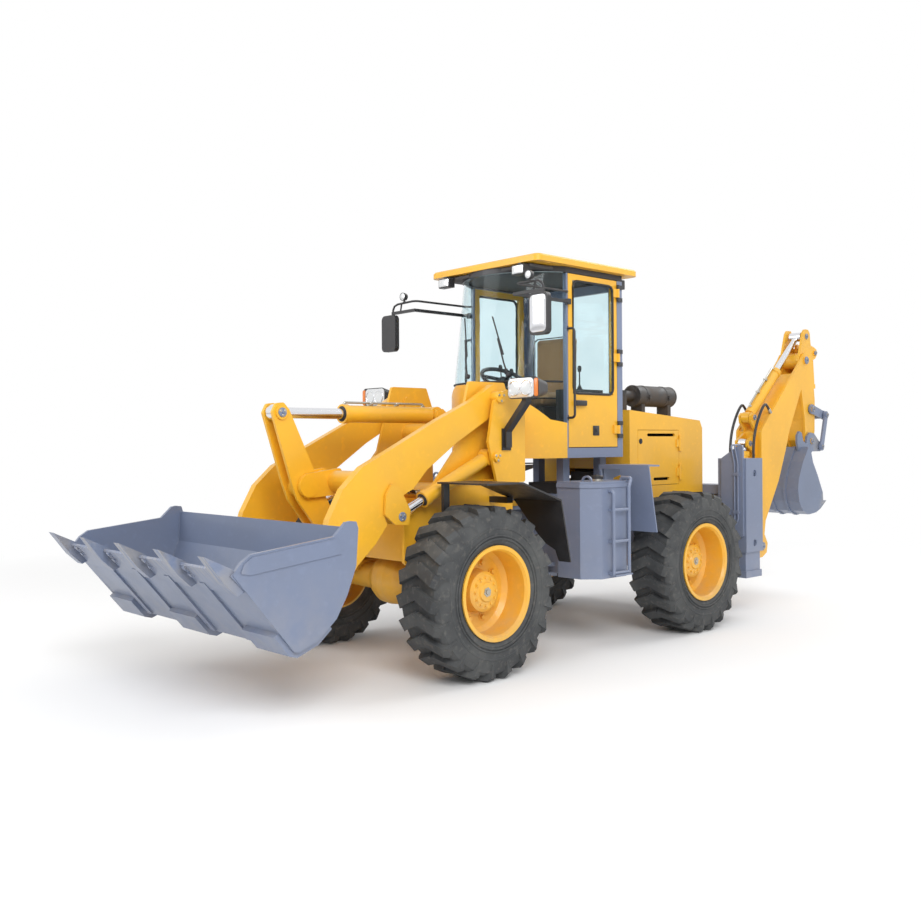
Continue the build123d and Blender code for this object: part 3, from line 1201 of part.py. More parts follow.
save(hoe_carriage.part, "hoe_carriage")

# Swing post: knuckles, back block, and the cheeks that hold the boom foot and the boom ram
cheek_inner = boom_half + side_clearance + 2
cheek_plate = 30.0
cheek_points = stations(
    (-3960, 440), (-4230, 450), (-4310, 490), (-4330, 580), (-4280, 660), (-4160, 800), (-4060, 1000),
    (-3996, 1060), (-3960, 1060))
with BuildPart() as swing_post:
    add(block(swing_at_x - 116, swing_at_x - 76, hoe_centre_y - cheek_inner - 5, hoe_centre_y + cheek_inner + 5,
              440, 1060))
    for low, high in lug_levels:
        with BuildSketch(Plane.XY.offset(low)):
            with Locations((swing_at_x, hoe_centre_y)):
                Circle(65)
                Rectangle(110, 120, align=(Align.MAX, Align.CENTER))
                Circle(swing_pin + pin_clearance, mode=Mode.SUBTRACT)
        extrude(amount=high - low)
    for side in (1, -1):
        high = hoe_centre_y + (cheek_inner + cheek_plate if side > 0 else -cheek_inner)
        add(plate(cheek_points, high, cheek_plate, 16))
        pin_high = hoe_centre_y + (cheek_inner + cheek_plate + 10 if side > 0 else -cheek_inner + 42)
        add(disc(boom_foot_at, 40, pin_high, cheek_plate + 52))
    add(disc(boom_ram_base_at, 32, hoe_centre_y + cheek_inner + 40, 2 * cheek_inner + 80))
save(swing_post.part, "swing_post")

# Boom: cranked box with open forks at its foot and tip
boom_points = stations(
    (-4120, 480), (-4110, 620), (-4190, 900), (-4285, 1260), (-4290, 1700), (-5115, 2455), (-5170, 2520),
    (-5245, 2505), (-5270, 2430), (-5215, 2330), (-4850, 1710), (-4770, 1510), (-4620, 1190), (-4360, 800),
    (-4325, 600), (-4315, 480), (-4220, 450))
boom_core = stations(
    (-4228, 985), (-4297, 1265), (-4302, 1690), (-4960, 2290), (-5095, 2150), (-4860, 1730), (-4758, 1510),
    (-4608, 1190), (-4470, 985))
ear_inner = 45.0
ear_plate = 25.0
boom_ears = stations((-4320, 1440), (-4230, 1500), (-4150, 1540), (-4148, 1600), (-4200, 1625), (-4320, 1690))
dipper_ears = stations(
    (-4310, 1680), (-4225, 1780), (-4215, 1850), (-4252, 1880), (-4296, 1868), (-4330, 1812), (-4420, 1790))
with BuildPart() as hoe_boom:
    for side in (1, -1):
        high = hoe_centre_y + (boom_half if side > 0 else -boom_half + boom_plate)
        add(plate(boom_points, high, boom_plate, 30, [(*boom_foot_at, 40 + pin_clearance)]))
        ear_high = hoe_centre_y + (ear_inner + ear_plate if side > 0 else -ear_inner)
        add(plate(boom_ears, ear_high, ear_plate, 16))
        add(plate(dipper_ears, ear_high, ear_plate, 16))
    add(plate(boom_core, hoe_centre_y + boom_half - boom_plate + 1, 2 * (boom_half - boom_plate + 1)))
    add(disc(dipper_pivot_at, 38, hoe_centre_y + boom_half + 12, 2 * boom_half + 24))
    add(disc(dipper_base_at, 32, hoe_centre_y + ear_inner + ear_plate + 8, 2 * (ear_inner + ear_plate + 8)))
save(hoe_boom.part, "hoe_boom")

# Dipper: box between two side plates, its head open for the ram eye
dipper_points = stations(
    (-5210, 2740), (-5245, 2775), (-5310, 2775), (-5345, 2740), (-5390, 2480), (-5448, 2030), (-5440, 1700),
    (-5395, 1540), (-5345, 1500), (-5290, 1500), (-5240, 1560), (-5230, 1810), (-5120, 2300), (-5105, 2440),
    (-5130, 2510))
dipper_core = stations(
    (-5130, 2310), (-5242, 1810), (-5250, 1600), (-5300, 1512), (-5345, 1512), (-5385, 1550), (-5428, 1700),
    (-5436, 2030), (-5400, 2310))
bucket_ram_ears = stations((-5360, 2640), (-5370, 2420), (-5540, 2480), (-5584, 2525), (-5575, 2580), (-5530, 2598))
with BuildPart() as dipper:
    for side in (1, -1):
        high = hoe_centre_y + (dipper_half if side > 0 else -dipper_half + dipper_plate)
        add(plate(dipper_points, high, dipper_plate, 18))
        ear_high = hoe_centre_y + (ear_inner + ear_plate if side > 0 else -ear_inner)
        add(plate(bucket_ram_ears, ear_high, ear_plate, 16))
    add(plate(dipper_core, hoe_centre_y + dipper_half - dipper_plate + 1, 2 * (dipper_half - dipper_plate + 1)))
    add(disc(dipper_pivot_at, 80, hoe_centre_y + dipper_half - 1, 2 * dipper_half - 2))
    add(disc(dipper_pivot_at, 38 + pin_clearance, hoe_centre_y + 200, 400), mode=Mode.SUBTRACT)
    add(disc(bucket_ram_base_at, 30, hoe_centre_y + ear_inner + ear_plate + 8, 2 * (ear_inner + ear_plate + 8)))
    web_x = dipper_head_at[0] - 105
    add(block(web_x - 12, web_x, hoe_centre_y - dipper_half + 5, hoe_centre_y + dipper_half - 5, 2300, 2590))
    # Pins of the bucket and of the rocker, proud of the side plates
    reach = dipper_half + 60
    add(disc(hoe_bucket_pin_at, 32, hoe_centre_y + reach - 25, 2 * (reach - 25)))
    add(disc(rocker_pin_at, 28, hoe_centre_y + reach - 25, 2 * (reach - 25)))
save(dipper.part, "dipper")

# Rocker and links of the bucket linkage
rocker_inner = dipper_half + side_clearance + 2
link_inner = rocker_inner + 22 + side_clearance + 2
with BuildPart() as hoe_rocker:
    for side in (1, -1):
        with BuildSketch(side_view(hoe_centre_y + (rocker_inner + 20 if side > 0 else -rocker_inner))):
            with Locations(rocker_pin_at):
                Circle(52)
            with Locations(rocker_end_at):
                Circle(48)
            Polygon((rocker_pin_at[0] - 10, rocker_pin_at[1] + 45), (rocker_pin_at[0] + 10, rocker_pin_at[1] - 45),
                    (rocker_end_at[0] + 10, rocker_end_at[1] - 40), (rocker_end_at[0] - 10, rocker_end_at[1] + 40),
                    align=None)
            with Locations(rocker_pin_at):
                Circle(28 + pin_clearance, mode=Mode.SUBTRACT)
        extrude(amount=20)
        add(disc(rocker_end_at, 38, hoe_centre_y + (rocker_inner + 1 if side > 0 else -50),
                 rocker_inner + 1 - 50))
        add(disc(rocker_end_at, 25, hoe_centre_y + (link_inner + 24 if side > 0 else -rocker_inner - 10),
                 link_inner + 24 - rocker_inner - 10))
save(hoe_rocker.part, "hoe_rocker")

with BuildPart() as hoe_link:
    for side in (1, -1):
        with BuildSketch(side_view(hoe_centre_y + (link_inner + 20 if side > 0 else -link_inner))):
            with Locations(rocker_end_at, hoe_link_pin_at):
                Circle(42)
            Polygon((rocker_end_at[0] - 32, rocker_end_at[1] - 6), (rocker_end_at[0] + 32, rocker_end_at[1] + 6),
                    (hoe_link_pin_at[0] + 32, hoe_link_pin_at[1] + 6), (hoe_link_pin_at[0] - 32, hoe_link_pin_at[1] - 6),
                    align=None)
            with Locations(rocker_end_at):
                Circle(25 + pin_clearance, mode=Mode.SUBTRACT)
        extrude(amount=20)
save(hoe_link.part, "hoe_link")

# Digging bucket: rolled back between side plates, teeth, and ears that straddle the dipper
hoe_shell_run = stations(
    (-5078, 1530), (-4965, 1380), (-4878, 1215), (-4852, 1100), (-4880, 970), (-4960, 868), (-5080, 828),
    (-5200, 838), (-5330, 885))
hoe_side_points = hoe_shell_run + stations((-5392, 965), (-5385, 1045), (-5276, 1229), (-5178, 1365), (-5140, 1470))
hoe_ear_points = stations(
    (-5225, 1640), (-5285, 1682), (-5370, 1672), (-5480, 1590), (-5550, 1560), (-5556, 1500), (-5500, 1480),
    (-5330, 1480), (-5210, 1400), (-5110, 1400), (-5045, 1480), (-5010, 1580), (-5012, 1650), (-5055, 1696),
    (-5108, 1676), (-5135, 1590), (-5205, 1560))
hoe_plate = 16.0
hoe_rib = 12.0
with BuildPart() as hoe_bucket:
    add(plate(hoe_shell_run + inset(hoe_shell_run, -hoe_plate)[::-1], hoe_centre_y + hoe_bucket_half - 4,
              2 * hoe_bucket_half - 8))
    for side in (1, -1):
        high = hoe_centre_y + (hoe_bucket_half if side > 0 else -hoe_bucket_half + 20)
        add(plate(hoe_side_points, high, 20))
        ear_high = hoe_centre_y + (rocker_inner + 22 if side > 0 else -rocker_inner)
        add(plate(hoe_ear_points, ear_high, 22, 12, [(*hoe_bucket_pin_at, 32 + pin_clearance)]))
        # Rib down the rolled back
        add(plate(inset(hoe_shell_run[:8], -1) + inset(hoe_shell_run[:8], hoe_rib)[::-1],
                  hoe_centre_y + side * 75 + 14, 28))
    for i in range(4):
        tooth_y = hoe_centre_y - hoe_bucket_half + 30 + i * (2 * hoe_bucket_half - 60) / 3
        add(plate(stations((-5240, 840), (-5340, 876), (-5472, 958), (-5345, 918), (-5240, 878)), tooth_y + 26, 52))
save(hoe_bucket.part, "hoe_bucket")

# Rams of the hoe
save(ram_barrel(boom_ram_base_at, boom_ram_eye_at, hoe_centre_y, 800, 55, 32, 58, 100, 32), "boom_barrel")
save(ram_rod(boom_ram_base_at, boom_ram_eye_at, hoe_centre_y, 90, 32, 50, 2 * (ear_inner - 7)), "boom_rod")
save(ram_barrel(dipper_base_at, dipper_head_at, hoe_centre_y, 740, 52, 32, 56, 80, 32), "dipper_barrel")
save(ram_rod(dipper_base_at, dipper_head_at, hoe_centre_y, 545, 32, 48, 2 * 60), "dipper_rod")
save(ram_barrel(bucket_ram_base_at, rocker_end_at, hoe_centre_y, 382, 45, 26, 50, 80, 30), "bucket_barrel")
save(ram_rod(bucket_ram_base_at, rocker_end_at, hoe_centre_y, 300, 26, 46, 2 * 42), "bucket_rod")
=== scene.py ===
import json
import math
import bmesh
import bpy
from mathutils import Matrix, Vector
from mathutils.bvhtree import BVHTree


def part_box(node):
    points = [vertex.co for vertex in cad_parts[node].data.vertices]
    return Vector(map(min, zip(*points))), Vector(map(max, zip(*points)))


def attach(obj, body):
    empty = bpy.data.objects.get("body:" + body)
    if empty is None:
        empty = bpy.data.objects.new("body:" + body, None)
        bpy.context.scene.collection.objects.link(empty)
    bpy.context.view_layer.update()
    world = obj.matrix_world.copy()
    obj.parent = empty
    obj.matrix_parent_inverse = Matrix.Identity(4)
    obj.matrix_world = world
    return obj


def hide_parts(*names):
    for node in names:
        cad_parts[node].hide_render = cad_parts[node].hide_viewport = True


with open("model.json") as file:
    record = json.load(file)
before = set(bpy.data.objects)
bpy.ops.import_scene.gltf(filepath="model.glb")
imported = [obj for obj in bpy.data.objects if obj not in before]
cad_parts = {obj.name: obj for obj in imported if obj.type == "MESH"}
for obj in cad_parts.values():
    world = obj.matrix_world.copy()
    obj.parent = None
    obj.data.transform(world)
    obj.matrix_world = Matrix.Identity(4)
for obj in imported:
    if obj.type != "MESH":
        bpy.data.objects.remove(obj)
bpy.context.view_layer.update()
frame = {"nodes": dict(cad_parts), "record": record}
nodes = frame["nodes"]
scene = bpy.context.scene
scene.view_settings.view_transform = "Standard"

# Camera where the photographer stood, ahead of the machine's left front wheel at head height.
# Its place and aim were fitted to the wheels, cab and bucket; the front axle lies 1.729 m ahead of the origin.
front_axle = 1.729
camera_yaw = 3.98611
camera_pitch = -0.00247
camera_roll = -0.00717
focal_pixels = 988.77
picture_pixels = 921
centre_pixel = (421.24, 446.05)
forward = Vector((math.cos(camera_pitch) * math.cos(camera_yaw), math.cos(camera_pitch) * math.sin(camera_yaw),
                  math.sin(camera_pitch)))
right = forward.cross(Vector((0, 0, 1))).normalized()
up = right.cross(forward)
right, up = (right * math.cos(camera_roll) + up * math.sin(camera_roll),
             up * math.cos(camera_roll) - right * math.sin(camera_roll))
camera_data = bpy.data.cameras.new("photo_camera")
camera_data.sensor_width = 36.0
camera_data.lens = 36.0 * focal_pixels / picture_pixels
camera_data.shift_x = (picture_pixels / 2 - centre_pixel[0]) / picture_pixels
camera_data.shift_y = (centre_pixel[1] - picture_pixels / 2) / picture_pixels
camera = bpy.data.objects.new("photo_camera", camera_data)
turn = Matrix((right, up, -forward)).transposed().to_4x4()
camera.matrix_world = Matrix.Translation((front_axle + 4.758, 5.657, 1.593)) @ turn
scene.collection.objects.link(camera)
scene.camera = camera


def wired(tree, kind, given):
    """New node whose inputs, by name or number, take a value or another node's socket."""
    made = tree.nodes.new(kind)
    for label, value in given.items():
        if isinstance(value, bpy.types.NodeSocket):
            tree.links.new(value, made.inputs[label])
        else:
            made.inputs[label].default_value = value
    return made


def computed(tree, operation, *values, clamp=False):
    """Result of a maths node on numbers and sockets."""
    maths = wired(tree, "ShaderNodeMath", dict(enumerate(values)))
    maths.operation = operation
    maths.use_clamp = clamp
    return maths.outputs["Value"]


def mixed_shaders(tree, share, first, second, target):
    """Mix two shaders by a share into a target socket."""
    mix = wired(tree, "ShaderNodeMixShader", {"Fac": share, 1: first, 2: second})
    tree.links.new(mix.outputs["Shader"], target)


def at(x, y, z):
    """Frame point from a station measured from the front axle."""
    return Vector((front_axle + x, y, z))


def linked(name, data):
    """New object in the scene."""
    piece = bpy.data.objects.new(name, data)
    scene.collection.objects.link(piece)
    return piece


def evaluated(piece):
    """Mesh of an object with its modifiers applied."""
    return bpy.data.meshes.new_from_object(piece.evaluated_get(bpy.context.evaluated_depsgraph_get()))


def blank(name):
    """New material with its tree, shader and Object coordinates."""
    material = bpy.data.materials.new(name)
    material.use_nodes = True
    tree = material.node_tree
    coordinates = tree.nodes.new("ShaderNodeTexCoord")
    return material, tree, tree.nodes["Principled BSDF"], coordinates.outputs["Object"]


def grain(tree, place, scale, detail=3.0, stretch=None):
    """Noise on Object coordinates, stretched along an axis where a stretch is given."""
    if stretch:
        place = wired(tree, "ShaderNodeMapping", {"Scale": stretch, "Vector": place}).outputs["Vector"]
    return wired(tree, "ShaderNodeTexNoise", {"Scale": scale, "Detail": detail, "Vector": place}).outputs["Fac"]


def between(tree, value, low, high, start=0.0, end=1.0):
    """Map a value's band from low to high onto start to end."""
    return wired(tree, "ShaderNodeMapRange", {"From Min": low, "From Max": high, "To Min": start, "To Max": end,
                                              "Value": value}).outputs["Result"]


def blended(tree, share, first, second):
    """Mix two colours by a share; each is a colour or a socket."""
    mix = tree.nodes.new("ShaderNodeMix")
    mix.data_type = "RGBA"
    tree.links.new(share, mix.inputs["Factor"])
    for socket, colour in ((mix.inputs[6], first), (mix.inputs[7], second)):
        if isinstance(colour, tuple):
            socket.default_value = (*colour, 1)
        else:
            tree.links.new(colour, socket)
    return mix.outputs[2]


def raised(tree, shader, height, strength, distance):
    """Bump from a height."""
    bump = wired(tree, "ShaderNodeBump", {"Strength": strength, "Distance": distance, "Height": height})
    tree.links.new(bump.outputs["Normal"], shader.inputs["Normal"])


def toned(tree, shader, share, first, second, smooth, rough, low=0.3, high=0.7, band=None):
    """Two colours blended by a share, or a band of it, with the roughness following it from smooth to rough."""
    strength = between(tree, share, *band) if band else share
    tree.links.new(blended(tree, strength, first, second), shader.inputs["Base Color"])
    tree.links.new(between(tree, share, low, high, smooth, rough), shader.inputs["Roughness"])


def plain_stuff(name, colour, shade, roughness, metallic=0.0, scale=40.0, bump=0.15):
    """Two-tone material with grain, for small black, rubber and steel pieces."""
    material, tree, shader, place = blank(name)
    toned(tree, shader, grain(tree, place, scale, 4), colour, shade, roughness - 0.07, roughness + 0.07)
    shader.inputs["Metallic"].default_value = metallic
    raised(tree, shader, grain(tree, place, scale * 6), bump, 0.0006)
    return material


# Pale studio floor, wide soft lamps and an even sky that the camera, gloss and glass see as white.
# The machine itself is lit at a plain level, and the floor keeps its shadow and turns white far from it.
white_from, white_to = 4.5, 9.0
floor_mesh = bpy.data.meshes.new("studio_floor")
floor_mesh.from_pydata([(-40, -40, 0), (40, -40, 0), (40, 40, 0), (-40, 40, 0)], [], [(0, 1, 2, 3)])
floor = linked("studio_floor", floor_mesh)
floor_material, tree, shader, place = blank("studio_floor")
shader.inputs["Base Color"].default_value = (0.95, 0.95, 0.95, 1)
shader.inputs["Roughness"].default_value = 0.9
distance = wired(tree, "ShaderNodeVectorMath", {0: place})
distance.operation = "LENGTH"
far_off = between(tree, distance.outputs["Value"], white_from, white_to)
camera_ray = tree.nodes.new("ShaderNodeLightPath").outputs["Is Camera Ray"]
mixed_shaders(tree, computed(tree, "MULTIPLY", far_off, camera_ray), shader.outputs["BSDF"],
              tree.nodes.new("ShaderNodeEmission").outputs["Emission"],
              tree.nodes["Material Output"].inputs["Surface"])
floor_mesh.materials.append(floor_material)
world = bpy.data.worlds.new("studio")
world.use_nodes = True
scene.world = world
sky_tree = world.node_tree
sky = sky_tree.nodes["Background"]
sky.inputs["Color"].default_value = (1, 1, 1, 1)
sky.inputs["Strength"].default_value = 0.62
white = wired(sky_tree, "ShaderNodeBackground", {"Color": (1, 1, 1, 1), "Strength": 1.0})
ray = sky_tree.nodes.new("ShaderNodeLightPath")
seen = computed(sky_tree, "ADD", ray.outputs["Is Camera Ray"], ray.outputs["Is Glossy Ray"])
seen = computed(sky_tree, "ADD", seen, ray.outputs["Is Transmission Ray"], clamp=True)
mixed_shaders(sky_tree, seen, sky.outputs["Background"], white.outputs["Background"],
              sky_tree.nodes["World Output"].inputs["Surface"])
lamp_size = 6.0
lamp_aim = Vector((0, 0, 1.2))
for lamp_name, place, power in (
        ("key_lamp", (7.0, 9.0, 8.0), 900),
        ("fill_lamp", (10.0, -5.0, 6.0), 330),
        ("back_lamp", (-8.0, 2.0, 8.0), 380)):
    lamp_data = bpy.data.lights.new(lamp_name, "AREA")
    lamp_data.energy = power
    lamp_data.size = lamp_size
    lamp = linked(lamp_name, lamp_data)
    lamp.location = place
    lamp.rotation_euler = (lamp_aim - Vector(place)).to_track_quat("-Z", "Y").to_euler()

# Oil hoses: wire-braided rubber with smooth black covers, each crimped to a steel end at both ends.
# They bow out between their ports as stiff hoses do. The first pair feeds the tilt ram's valve, the others the boom.
hose_rubber = plain_stuff("hose_rubber", (0.018, 0.018, 0.02), (0.04, 0.04, 0.042), 0.45)
plated_steel = plain_stuff("plated_steel", (0.55, 0.52, 0.45), (0.42, 0.41, 0.38), 0.36, metallic=1.0, scale=90)


def finished(name, work, body, finish):
    """Close one mesh piece: outward faces, crisp edges, its material and body."""
    bmesh.ops.recalc_face_normals(work, faces=work.faces)
    mesh = bpy.data.meshes.new(name)
    work.to_mesh(mesh)
    work.free()
    mesh.materials.append(finish)
    mesh.shade_smooth()
    mesh.set_sharp_from_angle(angle=math.radians(32))
    piece = linked(name, mesh)
    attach(piece, body)
    return piece


def circle(centre, first, second, radius, sides):
    """Points round a circle from the first direction towards the second."""
    return [centre + (first * math.cos(2 * math.pi * i / sides) + second * math.sin(2 * math.pi * i / sides)) * radius
            for i in range(sides)]


def bridged(work, rings):
    """Faces from each ring of corners to the next; a ring of one repeated corner makes triangles."""
    for ring, following in zip(rings, rings[1:]):
        for i in range(len(ring)):
            after = (i + 1) % len(ring)
            corners = []
            for corner in (ring[i], ring[after], following[after], following[i]):
                if corner not in corners:
                    corners.append(corner)
            if len(corners) > 2:
                work.faces.new(corners)


def turned(work, foot, axis, profile, sides=24):
    """Lathe pairs of distance and radius about an axis from foot, closed at both ends."""
    axis = Vector(axis).normalized()
    across = axis.orthogonal().normalized()
    other = axis.cross(across)
    rings = []
    for along, radius in profile:
        centre = Vector(foot) + axis * along
        if radius == 0:
            rings.append([work.verts.new(centre)] * sides)
        else:
            rings.append([work.verts.new(point) for point in circle(centre, across, other, radius, sides)])
    bridged(work, rings)
    for ring in (rings[0], rings[-1]):
        if ring[0] is not ring[1]:
            work.faces.new(ring)


def line_curve(name, points, diameter):
    """Curve of one smooth open line with a round section."""
    line = bpy.data.curves.new(name, "CURVE")
    line.dimensions = "3D"
    line.bevel_depth = diameter / 2
    line.bevel_resolution = 4
    line.use_fill_caps = True
    line.resolution_u = 10
    spline = line.splines.new("NURBS")
    spline.points.add(len(points) - 1)
    for spot, point in zip(spline.points, points):
        spot.co = (*point, 1)
    spline.order_u = 3
    spline.use_endpoint_u = True
    return line


hose_diameter = 0.026
hose_end_sunk = 0.004
hose_end_profile = [(0, 0.018), (0.012, 0.018), (0.013, 0.0135), (0.018, 0.0135), (0.019, 0.0165), (0.046, 0.0165),
                    (0.05, 0.0138)]
skins = {}


def skin(name, start, direction):
    """Point where a ray first meets a CAD node."""
    if name not in skins:
        mesh = nodes[name].data
        skins[name] = BVHTree.FromPolygons([v.co.copy() for v in mesh.vertices],
                                           [tuple(p.vertices) for p in mesh.polygons])
    return skins[name].ray_cast(Vector(start), Vector(direction))[0]


def hose(name, body, points):
    """One hose with its two crimped ends."""
    piece = linked(name, line_curve(name, points, hose_diameter))
    piece.data.materials.append(hose_rubber)
    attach(piece, body)
    for place, inner, label in ((points[0], points[1], "foot"), (points[-1], points[-2], "head")):
        work = bmesh.new()
        outward = inner - place
        turned(work, place - outward.normalized() * hose_end_sunk, outward, hose_end_profile, sides=20)
        finished(name + "_" + label, work, body, plated_steel)


# Rear frame, tanks, ladders, fenders and the hoe's cross frame: cut and welded plate, sprayed in blue-grey enamel.
# Long waves and fine orange peel in the film, dust on what faces up, and more of it low down.
def enamel(name, colour, roughness=0.36, dust=0.16, dark_above=None):
    material, tree, shader, place = blank(name)
    cloud = grain(tree, place, 1.7, 6)
    fine = grain(tree, place, 22, 4)
    duller = tuple(part * 0.86 + 0.02 for part in colour)
    body_colour = blended(tree, between(tree, cloud, 0.38, 0.62), duller, colour)
    lighter = tuple(min(1.0, part * 1.07 + 0.006) for part in colour)
    body_colour = blended(tree, between(tree, fine, 0.56, 0.72, 0.0, 0.5), body_colour, lighter)
    facing = tree.nodes.new("ShaderNodeNewGeometry").outputs["Normal"]
    upward = wired(tree, "ShaderNodeSeparateXYZ", {"Vector": facing}).outputs["Z"]
    spot = wired(tree, "ShaderNodeSeparateXYZ", {"Vector": place}).outputs
    flat_tops = between(tree, upward, 0.55, 1.0, 0.0, dust)
    low_down = between(tree, spot["Z"], 0.95, 0.15, 0.0, dust)
    both = computed(tree, "ADD", flat_tops, low_down)
    patches = between(tree, grain(tree, place, 9, 5), 0.35, 0.65, 0.3, 1.6)
    body_colour = blended(tree, computed(tree, "MULTIPLY", both, patches), body_colour, (0.42, 0.38, 0.32))
    if dark_above:
        dark_level, dark_out = dark_above
        above = computed(tree, "GREATER_THAN", spot["Z"], dark_level)
        outboard = computed(tree, "ABSOLUTE", spot["Y"])
        beyond = computed(tree, "GREATER_THAN", outboard, dark_out)
        body_colour = blended(tree, computed(tree, "MAXIMUM", above, beyond), body_colour, (0.02, 0.02, 0.024))
    tree.links.new(body_colour, shader.inputs["Base Color"])
    tree.links.new(between(tree, cloud, 0.3, 0.7, roughness + 0.14, roughness), shader.inputs["Roughness"])
    shader.inputs["Coat Weight"].default_value = 0.25
    shader.inputs["Coat Roughness"].default_value = 0.12
    raised(tree, shader, grain(tree, place, 190, 2), 0.07, 0.0015)
    return material


def dress(finish, *names):
    """Give CAD nodes their material."""
    for name in names:
        nodes[name].data.materials.clear()
        nodes[name].data.materials.append(finish)


chassis_grey = enamel("chassis_grey", (0.185, 0.225, 0.335), roughness=0.42, dust=0.14)
dress(chassis_grey, "rear_frame", "tanks", "ladders", "rear_fenders", "hoe_frame", "hoe_carriage",
      "stabiliser_left", "stabiliser_right")
yellow = enamel("machine_yellow", (0.90, 0.47, 0.022))
dress(yellow, "front_frame", "front_axle", "rear_axle", "loader_arms", "bellcrank", "bucket_link", "cab_cowl",
      "cab_roof", "hood", "engine_door_left", "engine_door_right", "door_left", "door_right", "hoe_boom", "dipper",
      "swing_post", "tilt_barrel", "lift_barrels", "boom_barrel", "dipper_barrel", "bucket_barrel",
      "rim_front_left", "rim_front_right", "rim_rear_left", "rim_rear_right")
satin_black = plain_stuff("satin_black", (0.016, 0.016, 0.018), (0.035, 0.035, 0.038), 0.42, scale=12)
slot_of = {row["node"]: row["material_slot"] for row in frame["record"]["subparts"]}
dress(satin_black, *[name for name in nodes if slot_of[name] == "black"])
dress(chassis_grey, *[name for name in nodes if slot_of[name] == "grey_steel"])
engine_iron = plain_stuff("engine_iron", (0.05, 0.05, 0.055), (0.09, 0.085, 0.08), 0.6, scale=14)
dress(engine_iron, *[name for name in nodes if slot_of[name] == "engine"])

# The two pairs of oil hoses, from port to port on the frame they are bolted to.
# Both ends of a hose sit on one body, so no joint stretches it.
for side_y, reach in ((0.20, 0.30), (0.275, 0.25)):
    top_port = skin("front_frame", at(2, side_y, 1.67), (-1, 0, 0))
    low_port = skin("front_frame", at(2, side_y, 1.24), (-1, 0, 0))
    hose(f"valve_hose_{round(side_y * 1000)}", "chassis_front",
         [top_port, top_port + Vector((0.08, 0, 0.0)), top_port + Vector((reach, 0, -0.02)),
          low_port + Vector((reach * 0.62, 0, 0.16)), low_port + Vector((reach * 0.45, 0, 0.0)), low_port])
for side_y in (0.5475, 0.2925):
    low_port = skin("hoe_boom", at(-2, side_y, 1.22), (-1, 0, 0))
    top_port = skin("hoe_boom", at(-2, side_y, 1.88), (-1, 0, 0))
    hose("boom_hose_left" if side_y > 0.42 else "boom_hose_right", "hoe_boom",
         [low_port, low_port + Vector((0.07, 0, 0.01)), low_port + Vector((0.13, 0, 0.22)),
          low_port + Vector((0.09, 0, 0.50)), top_port + Vector((0.12, 0, 0.10)), top_port + Vector((0.045, 0, 0.055)),
          top_port])

# Tyres: block-lug rubber with raised rings on the sidewalls and dust left in the tread.
# The lugs are moulded with the carcass; the rings are thin steps in the same mould.
tyre_rubber, tree, shader, place = blank("tyre_rubber")
smear = grain(tree, place, 5, 6)
rubber_colour = blended(tree, between(tree, smear, 0.4, 0.7), (0.040, 0.043, 0.046), (0.085, 0.088, 0.088))
dusty = between(tree, grain(tree, place, 28, 4), 0.55, 0.75, 0.0, 0.45)
rubber_colour = blended(tree, dusty, rubber_colour, (0.16, 0.15, 0.135))
tree.links.new(rubber_colour, shader.inputs["Base Color"])
tree.links.new(between(tree, smear, 0.3, 0.7, 0.62, 0.85), shader.inputs["Roughness"])
raised(tree, shader, grain(tree, place, 120, 3), 0.25, 0.002)
wheels = ("front_left", "front_right", "rear_left", "rear_right")
wall_half = 0.198
sidewall_steps = ((0.362, 0.370), (0.384, 0.390), (0.434, 0.444))
ring_height = 0.0045
ring_slope = 0.004
ring_sides = 72
for wheel in wheels:
    dress(tyre_rubber, "tyre_" + wheel)
    tyre_low, tyre_high = (Vector(corner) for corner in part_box("tyre_" + wheel))
    middle = (tyre_low + tyre_high) / 2
    work = bmesh.new()
    for outward in (1, -1):
        wall = middle + Vector((0, outward * wall_half, 0))
        for inner, outer in sidewall_steps:
            rings = []
            for depth, radius in ((0.0, inner - ring_slope), (ring_height, inner), (ring_height, outer),
                                  (0.0, outer + ring_slope), (-ring_slope, outer), (-ring_slope, inner)):
                level = wall + Vector((0, outward * depth, 0))
                rings.append([work.verts.new(point) for point in
                              circle(level, Vector((0, 0, 1)), Vector((1, 0, 0)), radius, ring_sides)])
            bridged(work, rings + rings[:1])
    finished("sidewall_rings_" + wheel, work, "wheel_" + wheel, tyre_rubber)


# Wheel nuts: hexagon nuts on the rim's disc, painted with it, and the smaller screws of the planet hub.
# They stand in even rings, so one Geometry Nodes tree sets them out round each wheel's axis.
def hexagon_and_washer(tree, across, thickness):
    """Nut mesh on its washer, both standing on the plane of origin."""
    def joined(kind, middle, sizes):
        """One solid of the nut, its middle raised by a share of the thickness, added to the join."""
        offset = wired(tree, "ShaderNodeCombineXYZ", {"Z": computed(tree, "MULTIPLY", thickness, middle)})
        moved = wired(tree, "GeometryNodeTransform", {"Geometry": wired(tree, kind, sizes).outputs["Mesh"],
                                                      "Translation": offset.outputs["Vector"]})
        tree.links.new(moved.outputs["Geometry"], join.inputs["Geometry"])

    join = tree.nodes.new("GeometryNodeJoinGeometry")
    for vertices, width, low, high in ((16, 0.92, 0.0, 0.22), (6, 0.577, 0.2, 0.9)):
        joined("GeometryNodeMeshCylinder", (high + low) / 2,
               {"Vertices": vertices, "Radius": computed(tree, "MULTIPLY", across, width),
                "Depth": computed(tree, "MULTIPLY", thickness, high - low)})
    joined("GeometryNodeMeshCone", 0.88,
           {"Vertices": 12, "Radius Top": computed(tree, "MULTIPLY", across, 0.3),
            "Radius Bottom": computed(tree, "MULTIPLY", across, 0.47),
            "Depth": computed(tree, "MULTIPLY", thickness, 0.14)})
    return join.outputs["Geometry"]


